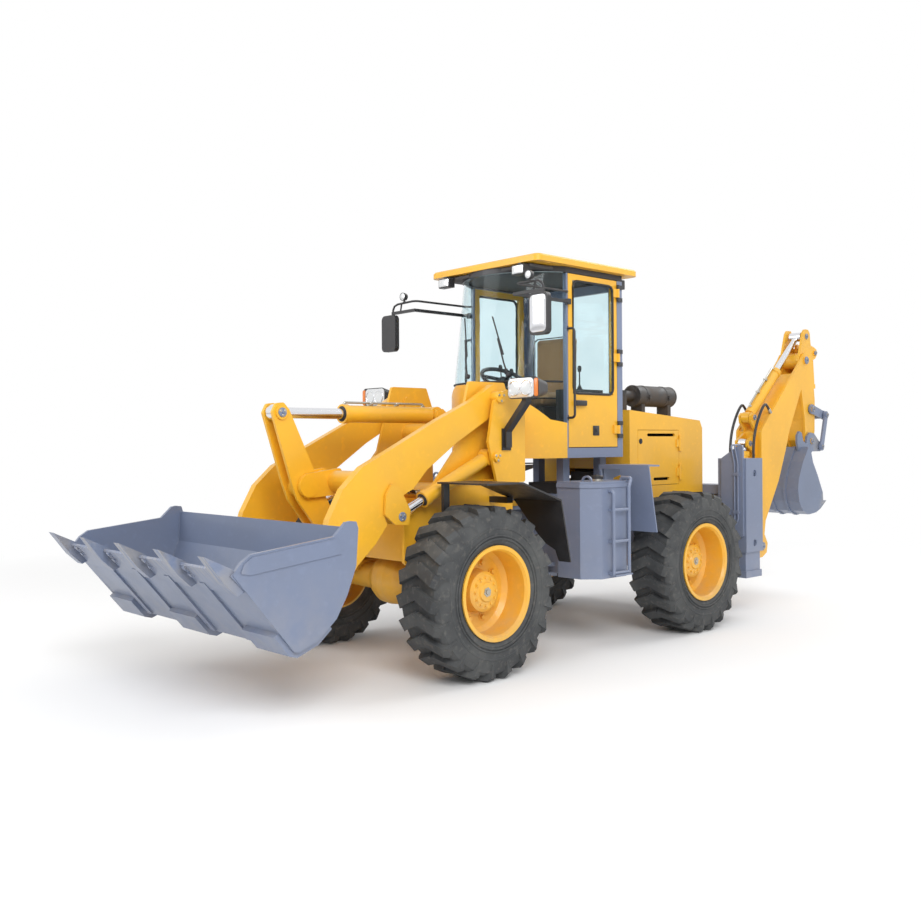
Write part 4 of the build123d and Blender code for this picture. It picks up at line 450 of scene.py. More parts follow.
def tree_with(name, *sockets):
    """New Geometry Nodes tree with its named inputs; gives the tree, its input node and the sockets' identifiers."""
    tree = bpy.data.node_groups.new(name, "GeometryNodeTree")
    identifiers = {}
    tree.interface.new_socket("Geometry", in_out="INPUT", socket_type="NodeSocketGeometry")
    for label, kind in sockets:
        identifiers[label] = tree.interface.new_socket(label, in_out="INPUT", socket_type=kind).identifier
    tree.interface.new_socket("Geometry", in_out="OUTPUT", socket_type="NodeSocketGeometry")
    return tree, tree.nodes.new("NodeGroupInput"), identifiers


def closed_off(tree, start, shape):
    """Realize the instances, set their material and hand them out."""
    real = wired(tree, "GeometryNodeRealizeInstances", {"Geometry": shape})
    coat = wired(tree, "GeometryNodeSetMaterial", {"Geometry": real.outputs["Geometry"],
                                                   "Material": start.outputs["Finish"]})
    wired(tree, "NodeGroupOutput", {"Geometry": coat.outputs["Geometry"]})


def grown(name, mesh, tree, identifiers, values, body, finish):
    """Run a tree on a small holder mesh and keep its result as one plain mesh piece."""
    holder = linked(name + "_holder", mesh)
    modifier = holder.modifiers.new("set_out", "NODES")
    modifier.node_group = tree
    for label, value in values.items():
        modifier[identifiers[label]] = value
    modifier[identifiers["Finish"]] = finish
    made = evaluated(holder)
    bpy.data.objects.remove(holder)
    made.materials.clear()
    made.materials.append(finish)
    made.shade_smooth()
    made.set_sharp_from_angle(angle=math.radians(28))
    piece = linked(name, made)
    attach(piece, body)
    return piece


nut_ring, start, nut_ring_inputs = tree_with(
    "nut_ring", ("Count", "NodeSocketInt"), ("Ring Radius", "NodeSocketFloat"), ("Across Flats", "NodeSocketFloat"),
    ("Thickness", "NodeSocketFloat"), ("Lean", "NodeSocketFloat"), ("Centre", "NodeSocketVector"),
    ("Finish", "NodeSocketMaterial"))
ring = wired(nut_ring, "GeometryNodeMeshCircle",
             {"Vertices": start.outputs["Count"], "Radius": start.outputs["Ring Radius"]})
nut = hexagon_and_washer(nut_ring, start.outputs["Across Flats"], start.outputs["Thickness"])
spread = wired(nut_ring, "GeometryNodeInstanceOnPoints", {"Points": ring.outputs["Mesh"], "Instance": nut})
spin = wired(nut_ring, "FunctionNodeRandomValue", {2: 0.0, 3: 1.05, "Seed": 3})
spin_axis = wired(nut_ring, "ShaderNodeCombineXYZ", {"Z": spin.outputs[1]})
turn_each = wired(nut_ring, "GeometryNodeRotateInstances",
                  {"Instances": spread.outputs["Instances"], "Rotation": spin_axis.outputs["Vector"]})
lean = wired(nut_ring, "ShaderNodeCombineXYZ", {"X": start.outputs["Lean"]})
stand = wired(nut_ring, "GeometryNodeTransform",
              {"Geometry": turn_each.outputs["Instances"], "Rotation": lean.outputs["Vector"],
               "Translation": start.outputs["Centre"]})
closed_off(nut_ring, start, stand.outputs["Geometry"])
for wheel in wheels:
    outward = 1 if wheel.endswith("left") else -1
    rim_low, rim_high = (Vector(corner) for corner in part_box("rim_" + wheel))
    middle = (rim_low + rim_high) / 2
    middle.y = outward * 0.87
    for label, count, radius, depth, across, thickness in (("wheel_nuts", 10, 0.197, -0.027, 0.032, 0.026),
                                                           ("hub_screws", 12, 0.095, 0.076, 0.018, 0.012)):
        holder = bpy.data.meshes.new("holder")
        holder.from_pydata([(0, 0, 0)], [], [])
        grown(f"{label}_{wheel}", holder, nut_ring, nut_ring_inputs,
              {"Count": count, "Ring Radius": radius, "Across Flats": across, "Thickness": thickness,
               "Lean": -outward * math.pi / 2, "Centre": tuple(middle + Vector((0, outward * depth, 0)))},
              "wheel_" + wheel, yellow)
    # Drain plug in the hub cap, and the valve stem
    work = bmesh.new()
    turned(work, middle + Vector((0, outward * 0.090, 0)), (0, outward, 0),
           [(0, 0.034), (0.006, 0.034), (0.007, 0.020), (0.014, 0.019), (0.015, 0)], sides=6)
    stem = middle + Vector((0.16, outward * -0.035, 0.195))
    turned(work, stem, (0.12, outward, 0.14),
           [(0, 0.010), (0.012, 0.010), (0.014, 0.006), (0.062, 0.005), (0.063, 0.0065), (0.078, 0.0065), (0.08, 0)],
           sides=12)
    finished("hub_plug_and_valve_" + wheel, work, "wheel_" + wheel, plated_steel)

# Bolts and pin ends: each hinge pin ends in a forged cap with a grease nipple, held by three bolts.
# The same hexagon heads hold the bucket's edge plates; a second tree stands them on their faces.
bolt_heads, start, bolt_inputs = tree_with(
    "bolt_heads", ("Across Flats", "NodeSocketFloat"), ("Thickness", "NodeSocketFloat"),
    ("Finish", "NodeSocketMaterial"))
facing = wired(bolt_heads, "GeometryNodeInputNamedAttribute", {"Name": "facing"})
facing.data_type = "FLOAT_VECTOR"
aim = wired(bolt_heads, "FunctionNodeAlignRotationToVector", {"Vector": facing.outputs["Attribute"]})
aim.axis = "Z"
head = hexagon_and_washer(bolt_heads, start.outputs["Across Flats"], start.outputs["Thickness"])
spread = wired(bolt_heads, "GeometryNodeInstanceOnPoints",
               {"Points": start.outputs["Geometry"], "Rotation": aim.outputs["Rotation"], "Instance": head})
closed_off(bolt_heads, start, spread.outputs["Instances"])


def bolts(name, body, places, across, thickness, finish=None):
    """Bolt heads on one body at pairs of place and outward direction."""
    holder = bpy.data.meshes.new("holder")
    holder.from_pydata([tuple(place) for place, outward in places], [], [])
    direction = holder.attributes.new("facing", "FLOAT_VECTOR", "POINT")
    direction.data.foreach_set("vector", [part for place, outward in places for part in outward])
    return grown(name, holder, bolt_heads, bolt_inputs, {"Across Flats": across, "Thickness": thickness}, body,
                 finish or plated_steel)


# body, node the cap sits on, station of the pin, height, cap radius
pin_table = (
    ("chassis_front", "front_frame", -0.500, 1.930, 0.044),
    ("chassis_front", "front_frame", -0.460, 1.490, 0.036),
    ("loader_arms", "loader_arms", 1.080, 0.620, 0.040),
    ("loader_arms", "loader_arms", 0.420, 1.100, 0.032),
    ("bellcrank", "bellcrank", 1.050, 1.810, 0.032),
    ("bellcrank", "bellcrank", 0.560, 0.860, 0.028),
    ("swing_post", "swing_post", -4.220, 0.560, 0.040),
    ("swing_post", "swing_post", -4.068, 0.700, 0.034),
    ("hoe_boom", "hoe_boom", -5.190, 2.440, 0.040),
    ("hoe_boom", "hoe_boom", -4.270, 1.830, 0.028),
    ("hoe_boom", "hoe_boom", -4.200, 1.570, 0.028),
    ("dipper", "dipper", -5.270, 2.700, 0.030),
    ("dipper", "dipper", -5.320, 1.590, 0.030),
    ("dipper", "dipper", -5.345, 1.930, 0.030),
    ("dipper", "dipper", -5.530, 2.540, 0.026),
    ("hoe_rocker", "hoe_rocker", -5.600, 1.870, 0.026),
    ("hoe_link", "hoe_link", -5.500, 1.530, 0.026))
nipple_profile = [(0.0105, 0.0065), (0.016, 0.0065), (0.017, 0.0045), (0.021, 0.0045), (0.023, 0)]
caps = {}
cap_bolts = {}
for body, node, station, height, radius in pin_table:
    for side in (1, -1):
        face = skin(node, at(station, side * 3, height), (0, -side, 0))
        work = caps.setdefault(body, bmesh.new())
        turned(work, face - Vector((0, side * 0.0005, 0)), (0, side, 0),
               [(0, radius), (0.006, radius), (0.009, radius * 0.9), (0.009, radius * 0.36), (0.0105, radius * 0.3),
                *nipple_profile])
        for third in range(3):
            swing = math.radians(30 + 120 * third)
            cap_bolts.setdefault(body, []).append(
                (face + Vector((math.cos(swing) * radius * 0.64, side * 0.0085, math.sin(swing) * radius * 0.64)),
                 (0, side, 0)))
for body, work in caps.items():
    finished("pin_caps_" + body, work, body, chassis_grey if body != "chassis_front" else yellow)
    bolts("pin_cap_bolts_" + body, body, cap_bolts[body], 0.011, 0.006)

# Loader bucket and hoe bucket: wear plate welded from rolled shell and flat sides, in the same blue-grey.
# The enamel is scraped off the cutting edges, the teeth and the floor, and welds run along the side plates.
def scraped(name, colour, start_x, end_x):
    """Enamel that gives way to scratched bare steel between two stations along the machine."""
    material = enamel(name, colour, roughness=0.42, dust=0.2)
    tree = material.node_tree
    shader = tree.nodes["Principled BSDF"]
    coordinates = tree.nodes.new("ShaderNodeTexCoord").outputs["Object"]
    painted = shader.inputs["Base Color"].links[0].from_socket
    axes = wired(tree, "ShaderNodeSeparateXYZ", {"Vector": coordinates})
    towards = between(tree, axes.outputs["X"], front_axle + start_x, front_axle + end_x)
    scores = grain(tree, coordinates, 7, 8, (1.0, 9.0, 1.0))
    rubbed = computed(tree, "MULTIPLY", towards, between(tree, scores, 0.42, 0.60))
    tree.links.new(blended(tree, rubbed, painted, (0.33, 0.33, 0.35)), shader.inputs["Base Color"])
    tree.links.new(between(tree, rubbed, 0.2, 0.9, 0.0, 0.65), shader.inputs["Metallic"])
    return material


bucket_grey = scraped("bucket_grey", (0.165, 0.205, 0.310), 1.93, 2.12)
dress(bucket_grey, "loader_bucket")
hoe_bucket_grey = scraped("hoe_bucket_grey", (0.165, 0.205, 0.305), -5.27, -5.44)
dress(hoe_bucket_grey, "hoe_bucket")

weld_bead, start, weld_inputs = tree_with(
    "weld_bead", ("Pitch", "NodeSocketFloat"), ("Bead Radius", "NodeSocketFloat"),
    ("Finish", "NodeSocketMaterial"))
line = wired(weld_bead, "GeometryNodeMeshToCurve", {"Mesh": start.outputs["Geometry"]})
steps = wired(weld_bead, "GeometryNodeResampleCurve", {"Curve": line.outputs["Curve"]})
steps.mode = "LENGTH"
weld_bead.links.new(start.outputs["Pitch"], steps.inputs["Length"])
ripple = wired(weld_bead, "GeometryNodeMeshIcoSphere", {"Subdivisions": 1, "Radius": start.outputs["Bead Radius"]})
uneven = wired(weld_bead, "FunctionNodeRandomValue", {2: 0.88, 3: 1.12, "Seed": 7})
lay = wired(weld_bead, "GeometryNodeInstanceOnPoints",
            {"Points": steps.outputs["Curve"], "Instance": ripple.outputs["Mesh"], "Scale": uneven.outputs[1]})
closed_off(weld_bead, start, lay.outputs["Instances"])


def welded(name, body, runs, bead, finish):
    """Weld beads along runs of points on one body."""
    holder = bpy.data.meshes.new("holder")
    points = [tuple(point) for run in runs for point in run]
    edges = []
    first = 0
    for run in runs:
        edges += [(first + i, first + i + 1) for i in range(len(run) - 1)]
        first += len(run)
    holder.from_pydata(points, edges, [])
    return grown(name, holder, weld_bead, weld_inputs, {"Pitch": bead * 1.3, "Bead Radius": bead}, body,
                 finish)


bucket_seam = ((2.020, 0.903), (1.944, 0.828), (1.630, 0.462), (1.606, 0.455), (1.489, 0.498), (1.364, 0.603),
               (1.288, 0.728), (1.225, 0.882), (1.211, 1.095))
bucket_seam_y = 1.047
welded("bucket_seams", "loader_bucket", [[at(x, side * bucket_seam_y, z) for x, z in bucket_seam] for side in (1, -1)],
       0.007, bucket_grey)
edge_plate_normal = (0.73, 0, -0.68)
edge_bolts = []
for plate_y in (-0.75, -0.25, 0.25, 0.75):
    for offset in (-0.15, 0.15):
        for z in (0.865, 0.905):
            face = skin("loader_bucket", at(3, plate_y + offset, z), (-1, 0, 0))
            edge_bolts.append((face, edge_plate_normal))
bolts("edge_plate_bolts", "loader_bucket", edge_bolts, 0.030, 0.013, bucket_grey)

# Rams: drawn steel barrels in machine yellow, with a screwed gland at the open end, and chromed rods.
# A rubber wiper seals each rod, and a steel pipe in saddles feeds the gland of the tilt ram and the dipper ram.
chrome, tree, shader, place = blank("chromed_rod")
shader.inputs["Metallic"].default_value = 1.0
toned(tree, shader, grain(tree, place, 60, 4), (0.80, 0.80, 0.82), (0.70, 0.71, 0.74), 0.10, 0.22)
raised(tree, shader, grain(tree, place, 400, 2), 0.04, 0.0003)
dress(chrome, *[name for name in nodes if slot_of[name] == "chrome"])


def tube(work, points, radius, sides=12, closed=False):
    """Round tube along points, mitred at each of them."""
    points = [Vector(point) for point in points]
    count = len(points)
    rings = []
    normal = None
    for i, point in enumerate(points):
        behind = points[i - 1] if closed or i > 0 else None
        ahead = points[(i + 1) % count] if closed or i < count - 1 else None
        if behind is None:
            along = (ahead - point).normalized()
        elif ahead is None:
            along = (point - behind).normalized()
        else:
            along = ((point - behind).normalized() + (ahead - point).normalized()).normalized()
        normal = along.orthogonal() if normal is None else normal - along * normal.dot(along)
        normal.normalize()
        other = along.cross(normal)
        rings.append([work.verts.new(spot) for spot in circle(point, normal, other, radius, sides)])
    bridged(work, rings)
    if closed:
        twist = min(range(sides), key=lambda k: (rings[0][k].co - rings[-1][0].co).length)
        bridged(work, [rings[-1], rings[0][twist:] + rings[0][:twist]])
    else:
        work.faces.new(rings[0])
        work.faces.new(rings[-1])


def slab(work, low, high, edge=0.003, segments=2):
    """Block with rounded edges from its lowest to its highest corner."""
    low, high = (Vector([pick(a, b) for a, b in zip(low, high)]) for pick in (min, max))
    made = bmesh.ops.create_cube(work, size=1.0)["verts"]
    for vertex in made:
        vertex.co = Vector([low[i] + (high[i] - low[i]) * (vertex.co[i] + 0.5) for i in range(3)])
    edges = {side for vertex in made for side in vertex.link_edges}
    bmesh.ops.bevel(work, geom=list(edges), offset=edge, segments=segments, affect="EDGES", profile=0.5)


seal_rubber = plain_stuff("seal_rubber", (0.012, 0.012, 0.013), (0.028, 0.028, 0.03), 0.6, scale=60)
pipe_radius = 0.009
pipe_gap = 0.020
port_profile = [(0, 0.017), (0.012, 0.017), (0.014, 0.0145), (0.016, 0.010)]
saddle_half = Vector((0.014, 0.018, 0.014))
# barrel, foot and eye stations, middles across, barrel length, barrel and rod radii, whether a pipe runs on top
ram_table = (
    ("tilt_barrel", (-0.400, 1.810), (1.050, 1.810), (0.0,), 0.890, 0.062, 0.038, True),
    ("lift_barrels", (-0.460, 1.490), (0.420, 1.100), (0.52, -0.52), 0.710, 0.052, 0.030, False),
    ("boom_barrel", (-4.068, 0.700), (-4.200, 1.570), (0.42,), 0.800, 0.055, 0.032, False),
    ("dipper_barrel", (-4.270, 1.830), (-5.270, 2.700), (0.42,), 0.740, 0.052, 0.032, True),
    ("bucket_barrel", (-5.530, 2.540), (-5.600, 1.870), (0.42,), 0.382, 0.045, 0.026, False))
for body, foot, eye, middles, length, barrel_radius, rod_radius, piped in ram_table:
    wipers = bmesh.new()
    pipes = bmesh.new()
    for middle in middles:
        foot_point = at(foot[0], middle, foot[1])
        along = (at(eye[0], middle, eye[1]) - foot_point).normalized()
        gland = foot_point + along * length
        turned(wipers, gland - along * 0.0005, along,
               [(0, barrel_radius - 0.006), (0.003, barrel_radius - 0.008), (0.004, rod_radius + 0.012),
                (0.010, rod_radius + 0.003), (0.010, rod_radius + 0.0012), (0, rod_radius + 0.0012)], sides=36)
        if piped:
            lift = Vector((0, 1, 0)).cross(along)
            lift = lift if lift.z > 0 else -lift
            level = barrel_radius + pipe_gap
            near = foot_point + along * 0.115
            far = gland - along * 0.022
            tube(pipes, [near + lift * (barrel_radius - 0.004), near + lift * (level - 0.008),
                         near + lift * level + along * 0.010, far + lift * level - along * 0.010,
                         far + lift * (level - 0.006), far + lift * (barrel_radius + 0.004)], pipe_radius)
            for port in (near, far):
                turned(pipes, port + lift * (barrel_radius - 0.004), lift, port_profile, sides=6)
            for share in (0.35, 0.68):
                saddle = near + (far - near) * share + lift * (level - 0.004)
                slab(pipes, saddle - saddle_half, saddle + saddle_half - Vector((0, 0, 0.002)), 0.004)
    finished(body + "_wiper", wipers, body, seal_rubber)
    if piped:
        finished(body + "_pipe", pipes, body, plated_steel)
    else:
        pipes.free()

# Cab glass: safety glass with a faint blue-green tint, clear enough to show the seat and the steering wheel.
# Dust greys it slightly; black rubber seals frame the door windows.
cab_glass, tree, shader, place = blank("cab_glass_tint")
toned(tree, shader, grain(tree, place, 3.0, 5), (0.83, 0.93, 0.95), (0.76, 0.88, 0.91), 0.01, 0.07, 0.4, 0.8,
      band=(0.35, 0.75))
shader.inputs["Transmission Weight"].default_value = 1.0
shader.inputs["IOR"].default_value = 1.2
raised(tree, shader, grain(tree, place, 1.4, 2), 0.02, 0.002)
dress(cab_glass, "cab_glass", "door_glass_left", "door_glass_right")
cab_grey = enamel("cab_grey", (0.185, 0.225, 0.335), roughness=0.40, dust=0.12, dark_above=(2.945, 0.551))
dress(cab_grey, "cab_frame")


def rounded_outline(low, high, radius, steps):
    """Pairs round a rectangle with rounded corners, with a number of points at each corner."""
    outline = []
    for first, second, start_turn in (
            (high[0] - radius, high[1] - radius, 0), (low[0] + radius, high[1] - radius, 90),
            (low[0] + radius, low[1] + radius, 180), (high[0] - radius, low[1] + radius, 270)):
        for step in range(steps):
            swing = math.radians(start_turn + 90 / (steps - 1) * step)
            outline.append((first + radius * math.cos(swing), second + radius * math.sin(swing)))
    return outline


seal_outline = rounded_outline((-1.929, 1.989), (-1.416, 2.891), 0.055, 7)
seal_y = 0.546
for side, door in ((1, "door_left"), (-1, "door_right")):
    work = bmesh.new()
    loop = [at(x, side * seal_y, z) for x, z in seal_outline]
    tube(work, loop, 0.0105, sides=10, closed=True)
    finished("window_seal_" + door, work, door, seal_rubber)
    # Sleeve on the pull handle, and the latch plate below with its lock
    work = bmesh.new()
    slab(work, at(-1.552, side * 0.5455, 1.888), at(-1.418, side * 0.580, 1.932), 0.007, 3)
    slab(work, at(-1.740, side * 0.5445, 1.650), at(-1.660, side * 0.552, 1.730), 0.005, 3)
    slab(work, at(-1.728, side * 0.550, 1.662), at(-1.672, side * 0.555, 1.718), 0.0024)
    turned(work, at(-1.700, side * 0.548, 1.690), (0, side, 0),
           [(0, 0.017), (0.012, 0.016), (0.014, 0.012), (0.014, 0)], sides=20)
    finished("handle_and_latch_" + door, work, door, satin_black)

# Cab trim: a grey headliner, the windscreen's seal and wipers, levers on the consoles, and the steering wheel's
# moulded boss and grip.
# The levers are steel rods with moulded knobs, standing in rubber boots.
trim_grey = plain_stuff("trim_grey", (0.075, 0.075, 0.08), (0.11, 0.11, 0.115), 0.75, scale=30, bump=0.3)
work = bmesh.new()
slab(work, at(-2.02, -0.50, 2.962), at(-0.97, 0.50, 2.990), 0.010, 3)
finished("headliner", work, "chassis_rear", trim_grey)
work = bmesh.new()
seal_run = []
for step in range(-17, 18):
    swing = math.radians(step * 5)
    outward = Vector((math.cos(swing), math.sin(swing), 0))
    face = skin("cab_glass", at(-1.35, 0, 2.077) + outward * 1.5, -outward)
    if face is not None and face.x > front_axle - 1.34:
        seal_run.append(face + outward * 0.001)
tube(work, seal_run, 0.0085, 10)
finished("windscreen_seal", work, "chassis_rear", seal_rubber)
work = bmesh.new()
wiper_foot_z = 2.13
wiper_radius = 0.0065
face_out = Vector((1, 0, 0.15)).normalized()
for foot_y, tip_y, tip_z in ((-0.06, -0.20, 2.62), (0.30, 0.14, 2.60)):
    foot_point = skin("cab_glass", at(1, foot_y, wiper_foot_z), (-1, 0, 0))
    tip_point = skin("cab_glass", at(1, tip_y, tip_z), (-1, 0, 0))
    turned(work, foot_point - face_out * 0.001, face_out,
           [(0, 0.020), (0.014, 0.018), (0.020, 0.010), (0.020, 0)], sides=20)
    tube(work, [foot_point + face_out * 0.014, foot_point.lerp(tip_point, 0.2) + face_out * 0.022,
                foot_point.lerp(tip_point, 0.62) + face_out * 0.016], wiper_radius, 8)
    blade_start = at(1, foot_y * 0.6 + tip_y * 0.4 + 0.02, wiper_foot_z + (tip_z - wiper_foot_z) * 0.34)
    blade_foot = skin("cab_glass", blade_start, (-1, 0, 0))
    tube(work, [blade_foot + face_out * 0.009, blade_foot.lerp(tip_point, 0.5) + face_out * 0.010,
                tip_point + face_out * 0.009], wiper_radius, 6)
finished("wipers", work, "chassis_rear", satin_black)
work = bmesh.new()
for lever_x, lever_y, lean, height in (
        (-1.56, -0.375, 0.10, 0.25), (-1.62, -0.375, 0.06, 0.22), (-1.68, -0.375, 0.02, 0.22),
        (-1.60, 0.375, 0.08, 0.24), (-1.70, 0.375, 0.0, 0.20)):
    stand = at(lever_x, lever_y, 2.0295)
    rise = Vector((lean, 0, 1)).normalized()
    turned(work, stand, rise,
           [(0, 0.026), (0.008, 0.025), (0.014, 0.019), (0.020, 0.020), (0.026, 0.014), (0.034, 0.013), (0.042, 0.0062),
            (height - 0.05, 0.0055), (height - 0.048, 0.013), (height - 0.02, 0.018), (height, 0.013),
            (height + 0.004, 0)], sides=16)
wheel_up = Vector((-200, 0, 410)).normalized()
column_foot = at(-0.990, 0, 1.700)
grip_ring = 0.1935
turned(work, column_foot + wheel_up * 0.430, wheel_up,
       [(0, 0.050), (0.030, 0.048), (0.045, 0.036), (0.048, 0)], sides=28)
grip_middle = column_foot + wheel_up * 0.457
grip_forward = Vector((410, 0, 200)).normalized()
tube(work, circle(grip_middle, grip_forward, Vector((0, 1, 0)), grip_ring, 36), 0.0165, 12, closed=True)
finished("levers_and_wheel_grip", work, "chassis_rear", satin_black)

# Mirrors: black moulded shells with silvered glass to the rear; the left shell carries a polished cover.
# A second thin bar braces each mirror arm, and a small round lamp stands on it.
def lamp_stuff(name, scale, detail, first, second, smooth, rough, metallic=0.0, coat=0.0, low=0.3, high=0.7):
    """Smooth material in two tones, for mirror glass and lamp lenses."""
    material, tree, shader, place = blank(name)
    toned(tree, shader, grain(tree, place, scale, detail), first, second, smooth, rough, low, high)
    shader.inputs["Metallic"].default_value = metallic
    shader.inputs["Coat Weight"].default_value = coat
    return material


mirror_silver = lamp_stuff("mirror_silver", 9, 4, (0.86, 0.88, 0.89), (0.78, 0.80, 0.82), 0.02, 0.10, metallic=1.0,
                           low=0.4, high=0.8)
lamp_clear = lamp_stuff("lamp_clear", 70, 2, (0.80, 0.82, 0.82), (0.66, 0.68, 0.70), 0.05, 0.16, metallic=0.55,
                        coat=1.0)
lamp_amber = lamp_stuff("lamp_amber", 60, 2, (0.85, 0.24, 0.015), (0.65, 0.15, 0.01), 0.08, 0.2, coat=0.8)


def rounded_plate(work, corner_low, corner_high, fixed, depth, radius, crown=0.0):
    """Plate with rounded corners facing along X, from fixed over a signed depth; corners are (y, z) pairs."""
    outline = rounded_outline(corner_low, corner_high, radius, 6)
    middle_y, middle_z = ((low + high) / 2 for low, high in zip(corner_low, corner_high))
    layers = []
    for shift, size in ((0.0, 1.0), (depth * 0.6, 1.0), (depth, 0.965), (depth + math.copysign(crown, depth), 0.5)):
        layers.append([work.verts.new(at(fixed + shift, middle_y + (y - middle_y) * size,
                                         middle_z + (z - middle_z) * size)) for y, z in outline])
    bridged(work, layers)
    work.faces.new(layers[0])
    work.faces.new(layers[-1])


mirror_z = 2.535
mirror_y = 0.850
arm_x = -0.720
stay_x = -1.326
brace_z = mirror_z + 0.256
lamp_y = 0.715
lamp_z = mirror_z + 0.305
glass_work, cover_work, brace_work = bmesh.new(), bmesh.new(), bmesh.new()
for side in (1, -1):
    low_y, high_y = sorted((side * 0.776, side * 0.924))
    rounded_plate(glass_work, (low_y, mirror_z - 0.139), (high_y, mirror_z + 0.139), -0.6995, -0.003, 0.030, 0.0006)
    tube(brace_work, [at(-0.712, side * mirror_y, mirror_z + 0.150), at(-0.712, side * 0.852, mirror_z + 0.205),
                      at(-0.714, side * 0.835, mirror_z + 0.236), at(-0.718, side * 0.800, mirror_z + 0.250),
                      at(arm_x, side * 0.610, brace_z), at(-0.735, side * 0.580, brace_z),
                      at(-0.760, side * 0.572, brace_z), at(stay_x + 0.03, side * 0.572, brace_z),
                      at(stay_x, side * 0.566, brace_z), at(stay_x - 0.012, side * 0.543, brace_z)], 0.009, 10)
    tube(brace_work, [at(-0.716, side * 0.760, mirror_z + 0.180), at(-0.730, side * 0.760, mirror_z + 0.252)], 0.007, 8)
    turned(brace_work, at(-0.722, side * lamp_y, brace_z), (0, 0, 1),
           [(0, 0.014), (0.010, 0.014), (0.012, 0.007), (0.022, 0.007)], sides=16)
    turned(brace_work, at(-0.745, side * lamp_y, lamp_z), (1, 0, 0),
           [(0, 0.016), (0.008, 0.029), (0.032, 0.034), (0.046, 0.034), (0.046, 0.029)], sides=28)
rounded_plate(cover_work, (0.772, mirror_z - 0.136), (0.928, mirror_z + 0.136), -0.6555, 0.005, 0.034, 0.004)
finished("mirror_glass", glass_work, "chassis_rear", mirror_silver)
finished("mirror_cover", cover_work, "chassis_rear", chrome)
finished("mirror_braces", brace_work, "chassis_rear", satin_black)

# Lamps: clear moulded lenses over bright reflector rings, with amber indicators beside the headlamps.
# The roof's work lamps have black rims, and the small lamps on the mirror arms have the same clear lenses.
lens_work, amber_work, rim_work = bmesh.new(), bmesh.new(), bmesh.new()
for lamp_x, facing_x in ((-0.9105, 1), (-2.1795, -1)):
    for middle_y in (0.42, -0.42):
        rounded_plate(rim_work, (middle_y - 0.0645, 2.9005), (middle_y + 0.0645, 2.9775), lamp_x, facing_x * 0.005,
                      0.010, 0.0)
        rounded_plate(lens_work, (middle_y - 0.056, 2.908), (middle_y + 0.056, 2.970), lamp_x + facing_x * 0.003,
                      facing_x * 0.006, 0.008, 0.003)
for side in (1, -1):
    turned(lens_work, at(-0.7005, side * lamp_y, lamp_z), (1, 0, 0),
           [(0, 0.029), (0.002, 0.028), (0.006, 0.016), (0.007, 0)], sides=28)
finished("work_lamp_rims", rim_work, "chassis_rear", satin_black)
finished("work_lamp_lenses", lens_work, "chassis_rear", lamp_clear)
lens_work, rim_work = bmesh.new(), bmesh.new()
headlamp_x = -0.4905
reflector = 0.052
for side in (1, -1):
    low_y, high_y = sorted((side * 0.708, side * 0.955))
    rounded_plate(lens_work, (low_y, 1.917), (high_y, 2.057), headlamp_x, 0.009, 0.030, 0.004)
    for reflector_y in (0.775, 0.890):
        turned(rim_work, at(-0.4835, side * reflector_y, 1.987), (1, 0, 0),
               [(0, reflector + 0.004), (0.007, reflector + 0.004), (0.009, reflector + 0.001),
                (0.007, reflector - 0.003), (0, reflector - 0.003)], sides=40)
    low_y, high_y = sorted((side * 0.960, side * 0.994))
    rounded_plate(amber_work, (low_y, 1.922), (high_y, 2.052), headlamp_x, 0.008, 0.014, 0.002)
finished("headlamp_rims", rim_work, "chassis_front", chrome)
finished("headlamp_lenses", lens_work, "chassis_front", lamp_clear)
finished("indicator_lenses", amber_work, "chassis_front", lamp_amber)

# Hood and silencer: the engine doors close on round push latches.
# The silencer is a rolled can with two clamped bands and pressed end rings, sooty about its outlet.
for side, door in ((1, "engine_door_left"), (-1, "engine_door_right")):
    work = bmesh.new()
    for latch_z in (1.60, 1.30):
        face = skin(door, at(-2.372, side * 2, latch_z), (0, -side, 0))
        turned(work, face - Vector((0, side * 0.001, 0)), (0, side, 0),
               [(0, 0.024), (0.004, 0.024), (0.006, 0.021), (0.004, 0.012), (0.008, 0.011), (0.009, 0)], sides=24)
    finished("latches_" + door, work, door, satin_black)
soot_black, tree, shader, place = blank("soot_black")
toned(tree, shader, grain(tree, place, 11, 5), (0.03, 0.03, 0.032), (0.075, 0.06, 0.05), 0.45, 0.75,
      band=(0.35, 0.7))
raised(tree, shader, grain(tree, place, 150, 3), 0.3, 0.0012)
dress(soot_black, "muffler")
work = bmesh.new()
silencer_y = 0.25
silencer_z = 2.01
for band_x in (-3.02, -2.72):
    turned(work, at(band_x - 0.016, silencer_y, silencer_z), (1, 0, 0),
           [(0, 0.0965), (0.003, 0.0985), (0.029, 0.0985), (0.032, 0.0965)], sides=48)
    slab(work, at(band_x - 0.014, 0.335, 1.985), at(band_x + 0.014, 0.3640, 2.000), 0.003)
    turned(work, at(band_x, 0.352, 1.968), (0, 0, 1),
           [(0, 0.007), (0.006, 0.007), (0.006, 0.0045), (0.042, 0.0045), (0.042, 0.007), (0.050, 0.007)], sides=6)
for ring_x, outward in ((-3.150, -1), (-2.590, 1)):
    turned(work, at(ring_x - outward * 0.014, silencer_y, silencer_z), (outward, 0, 0),
           [(0, 0.0955), (0.003, 0.0975), (0.015, 0.0975), (0.0165, 0.090)], sides=48)
finished("silencer_bands", work, "chassis_rear", soot_black)

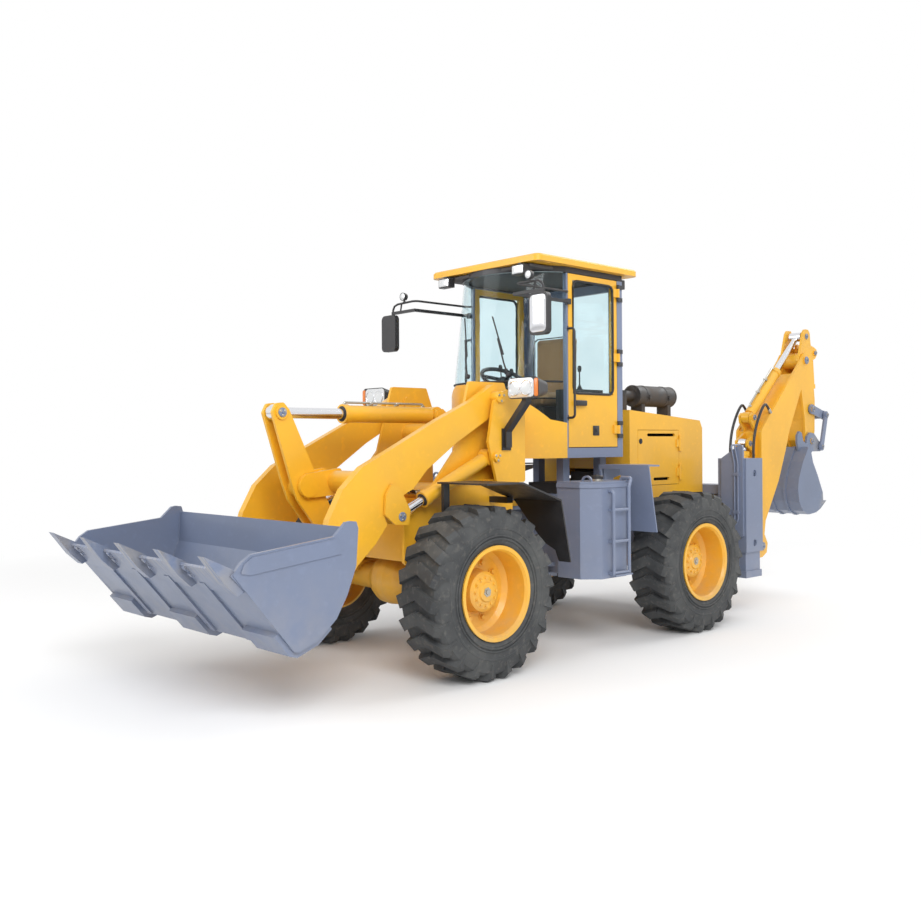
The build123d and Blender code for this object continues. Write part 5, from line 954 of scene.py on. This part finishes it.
# Tank fittings: a ribbed, moulded filler cap screwed onto a steel neck, one on each tank.
# The necks are welded into the lids.
work, metal_work = bmesh.new(), bmesh.new()
for side in (1, -1):
    tank_top = skin("tanks", at(-1.39, side * 0.80, 2), (0, 0, -1))
    turned(metal_work, tank_top - Vector((0, 0, 0.002)), (0, 0, 1),
           [(0, 0.052), (0.006, 0.052), (0.008, 0.042), (0.018, 0.042)], sides=32)
    turned(work, tank_top + Vector((0, 0, 0.014)), (0, 0, 1),
           [(0.0, 0.047), (0.020, 0.047), (0.026, 0.042), (0.027, 0.020), (0.032, 0.018), (0.033, 0)], sides=18)
finished("filler_caps", work, "chassis_rear", satin_black)
finished("filler_necks", metal_work, "chassis_rear", plated_steel)

# Seat: foam cushion and back under brown cloth, with piping sewn round their edges.
# Both pads are blown up as cloth from rounded blocks inside the solid's shape, and no point may move far.
seat_cloth, tree, shader, place = blank("seat_cloth")
toned(tree, shader, grain(tree, place, 6, 5), (0.36, 0.185, 0.075), (0.46, 0.255, 0.115), 0.72, 0.88,
      band=(0.3, 0.7))
shader.inputs["Sheen Weight"].default_value = 0.3
weave = wired(tree, "ShaderNodeTexWave", {"Scale": 140, "Distortion": 1.5, "Vector": place})
weave.bands_direction = "DIAGONAL"
raised(tree, shader, weave.outputs["Fac"], 0.3, 0.0008)
pads = bmesh.new()
slab(pads, at(-1.868, -0.226, 1.915), at(-1.412, 0.226, 2.008), 0.040, 4)
slab(pads, at(-1.893, -0.216, 1.990), at(-1.807, 0.216, 2.506), 0.036, 4)
seat_mesh = bpy.data.meshes.new("seat_pads")
pads.to_mesh(seat_mesh)
pads.free()
seat_pads = linked("seat_pads", seat_mesh)
grid = seat_pads.modifiers.new("grid", "REMESH")
grid.mode = "VOXEL"
grid.voxel_size = 0.008
seat_pads.data = evaluated(seat_pads)
seat_pads.modifiers.clear()
furthest_move = 0.012
before = [v.co.copy() for v in seat_pads.data.vertices]
blown = seat_pads.modifiers.new("blown", "CLOTH")
blown.settings.use_pressure = True
blown.settings.uniform_pressure_force = 4
blown.settings.effector_weights.gravity = 0
for step in range(1, 21):
    scene.frame_set(step)
swollen = evaluated(seat_pads)
seat_pads.modifiers.clear()
scene.frame_set(1)
for vertex, start_place in zip(swollen.vertices, before):
    move = vertex.co - start_place
    if move.length > furthest_move:
        vertex.co = start_place + move.normalized() * furthest_move
seat_pads.data = swollen
seat_pads.data.materials.clear()
seat_pads.data.materials.append(seat_cloth)
seat_pads.data.shade_smooth()
smooth = seat_pads.modifiers.new("smooth", "SUBSURF")
smooth.levels = smooth.render_levels = 1
bpy.context.view_layer.update()
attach(seat_pads, "chassis_rear")
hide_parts("seat")
work = bmesh.new()
piping_radius = 0.005
cushion_side = ((0.225, 0.20), (0.19, 0.236), (-0.12, 0.236), (-0.17, 0.230))
back_side = ((0.222, 2.03), (0.222, 2.43), (0.205, 2.480), (0.17, 2.500))
for corners in ([(0.236, -0.15), (0.236, 0.15), *cushion_side],
                [(0.236, -0.15), *((x, -y) for x, y in cushion_side)]):
    tube(work, [at(-1.640 + x, y, 1.962) for x, y in corners], piping_radius, 8)
tube(work, [at(-1.800, y, z) for y, z in [*((-y, z) for y, z in back_side), *reversed(back_side)]], piping_radius, 8)
finished("seat_piping", work, "chassis_rear", seal_rubber)
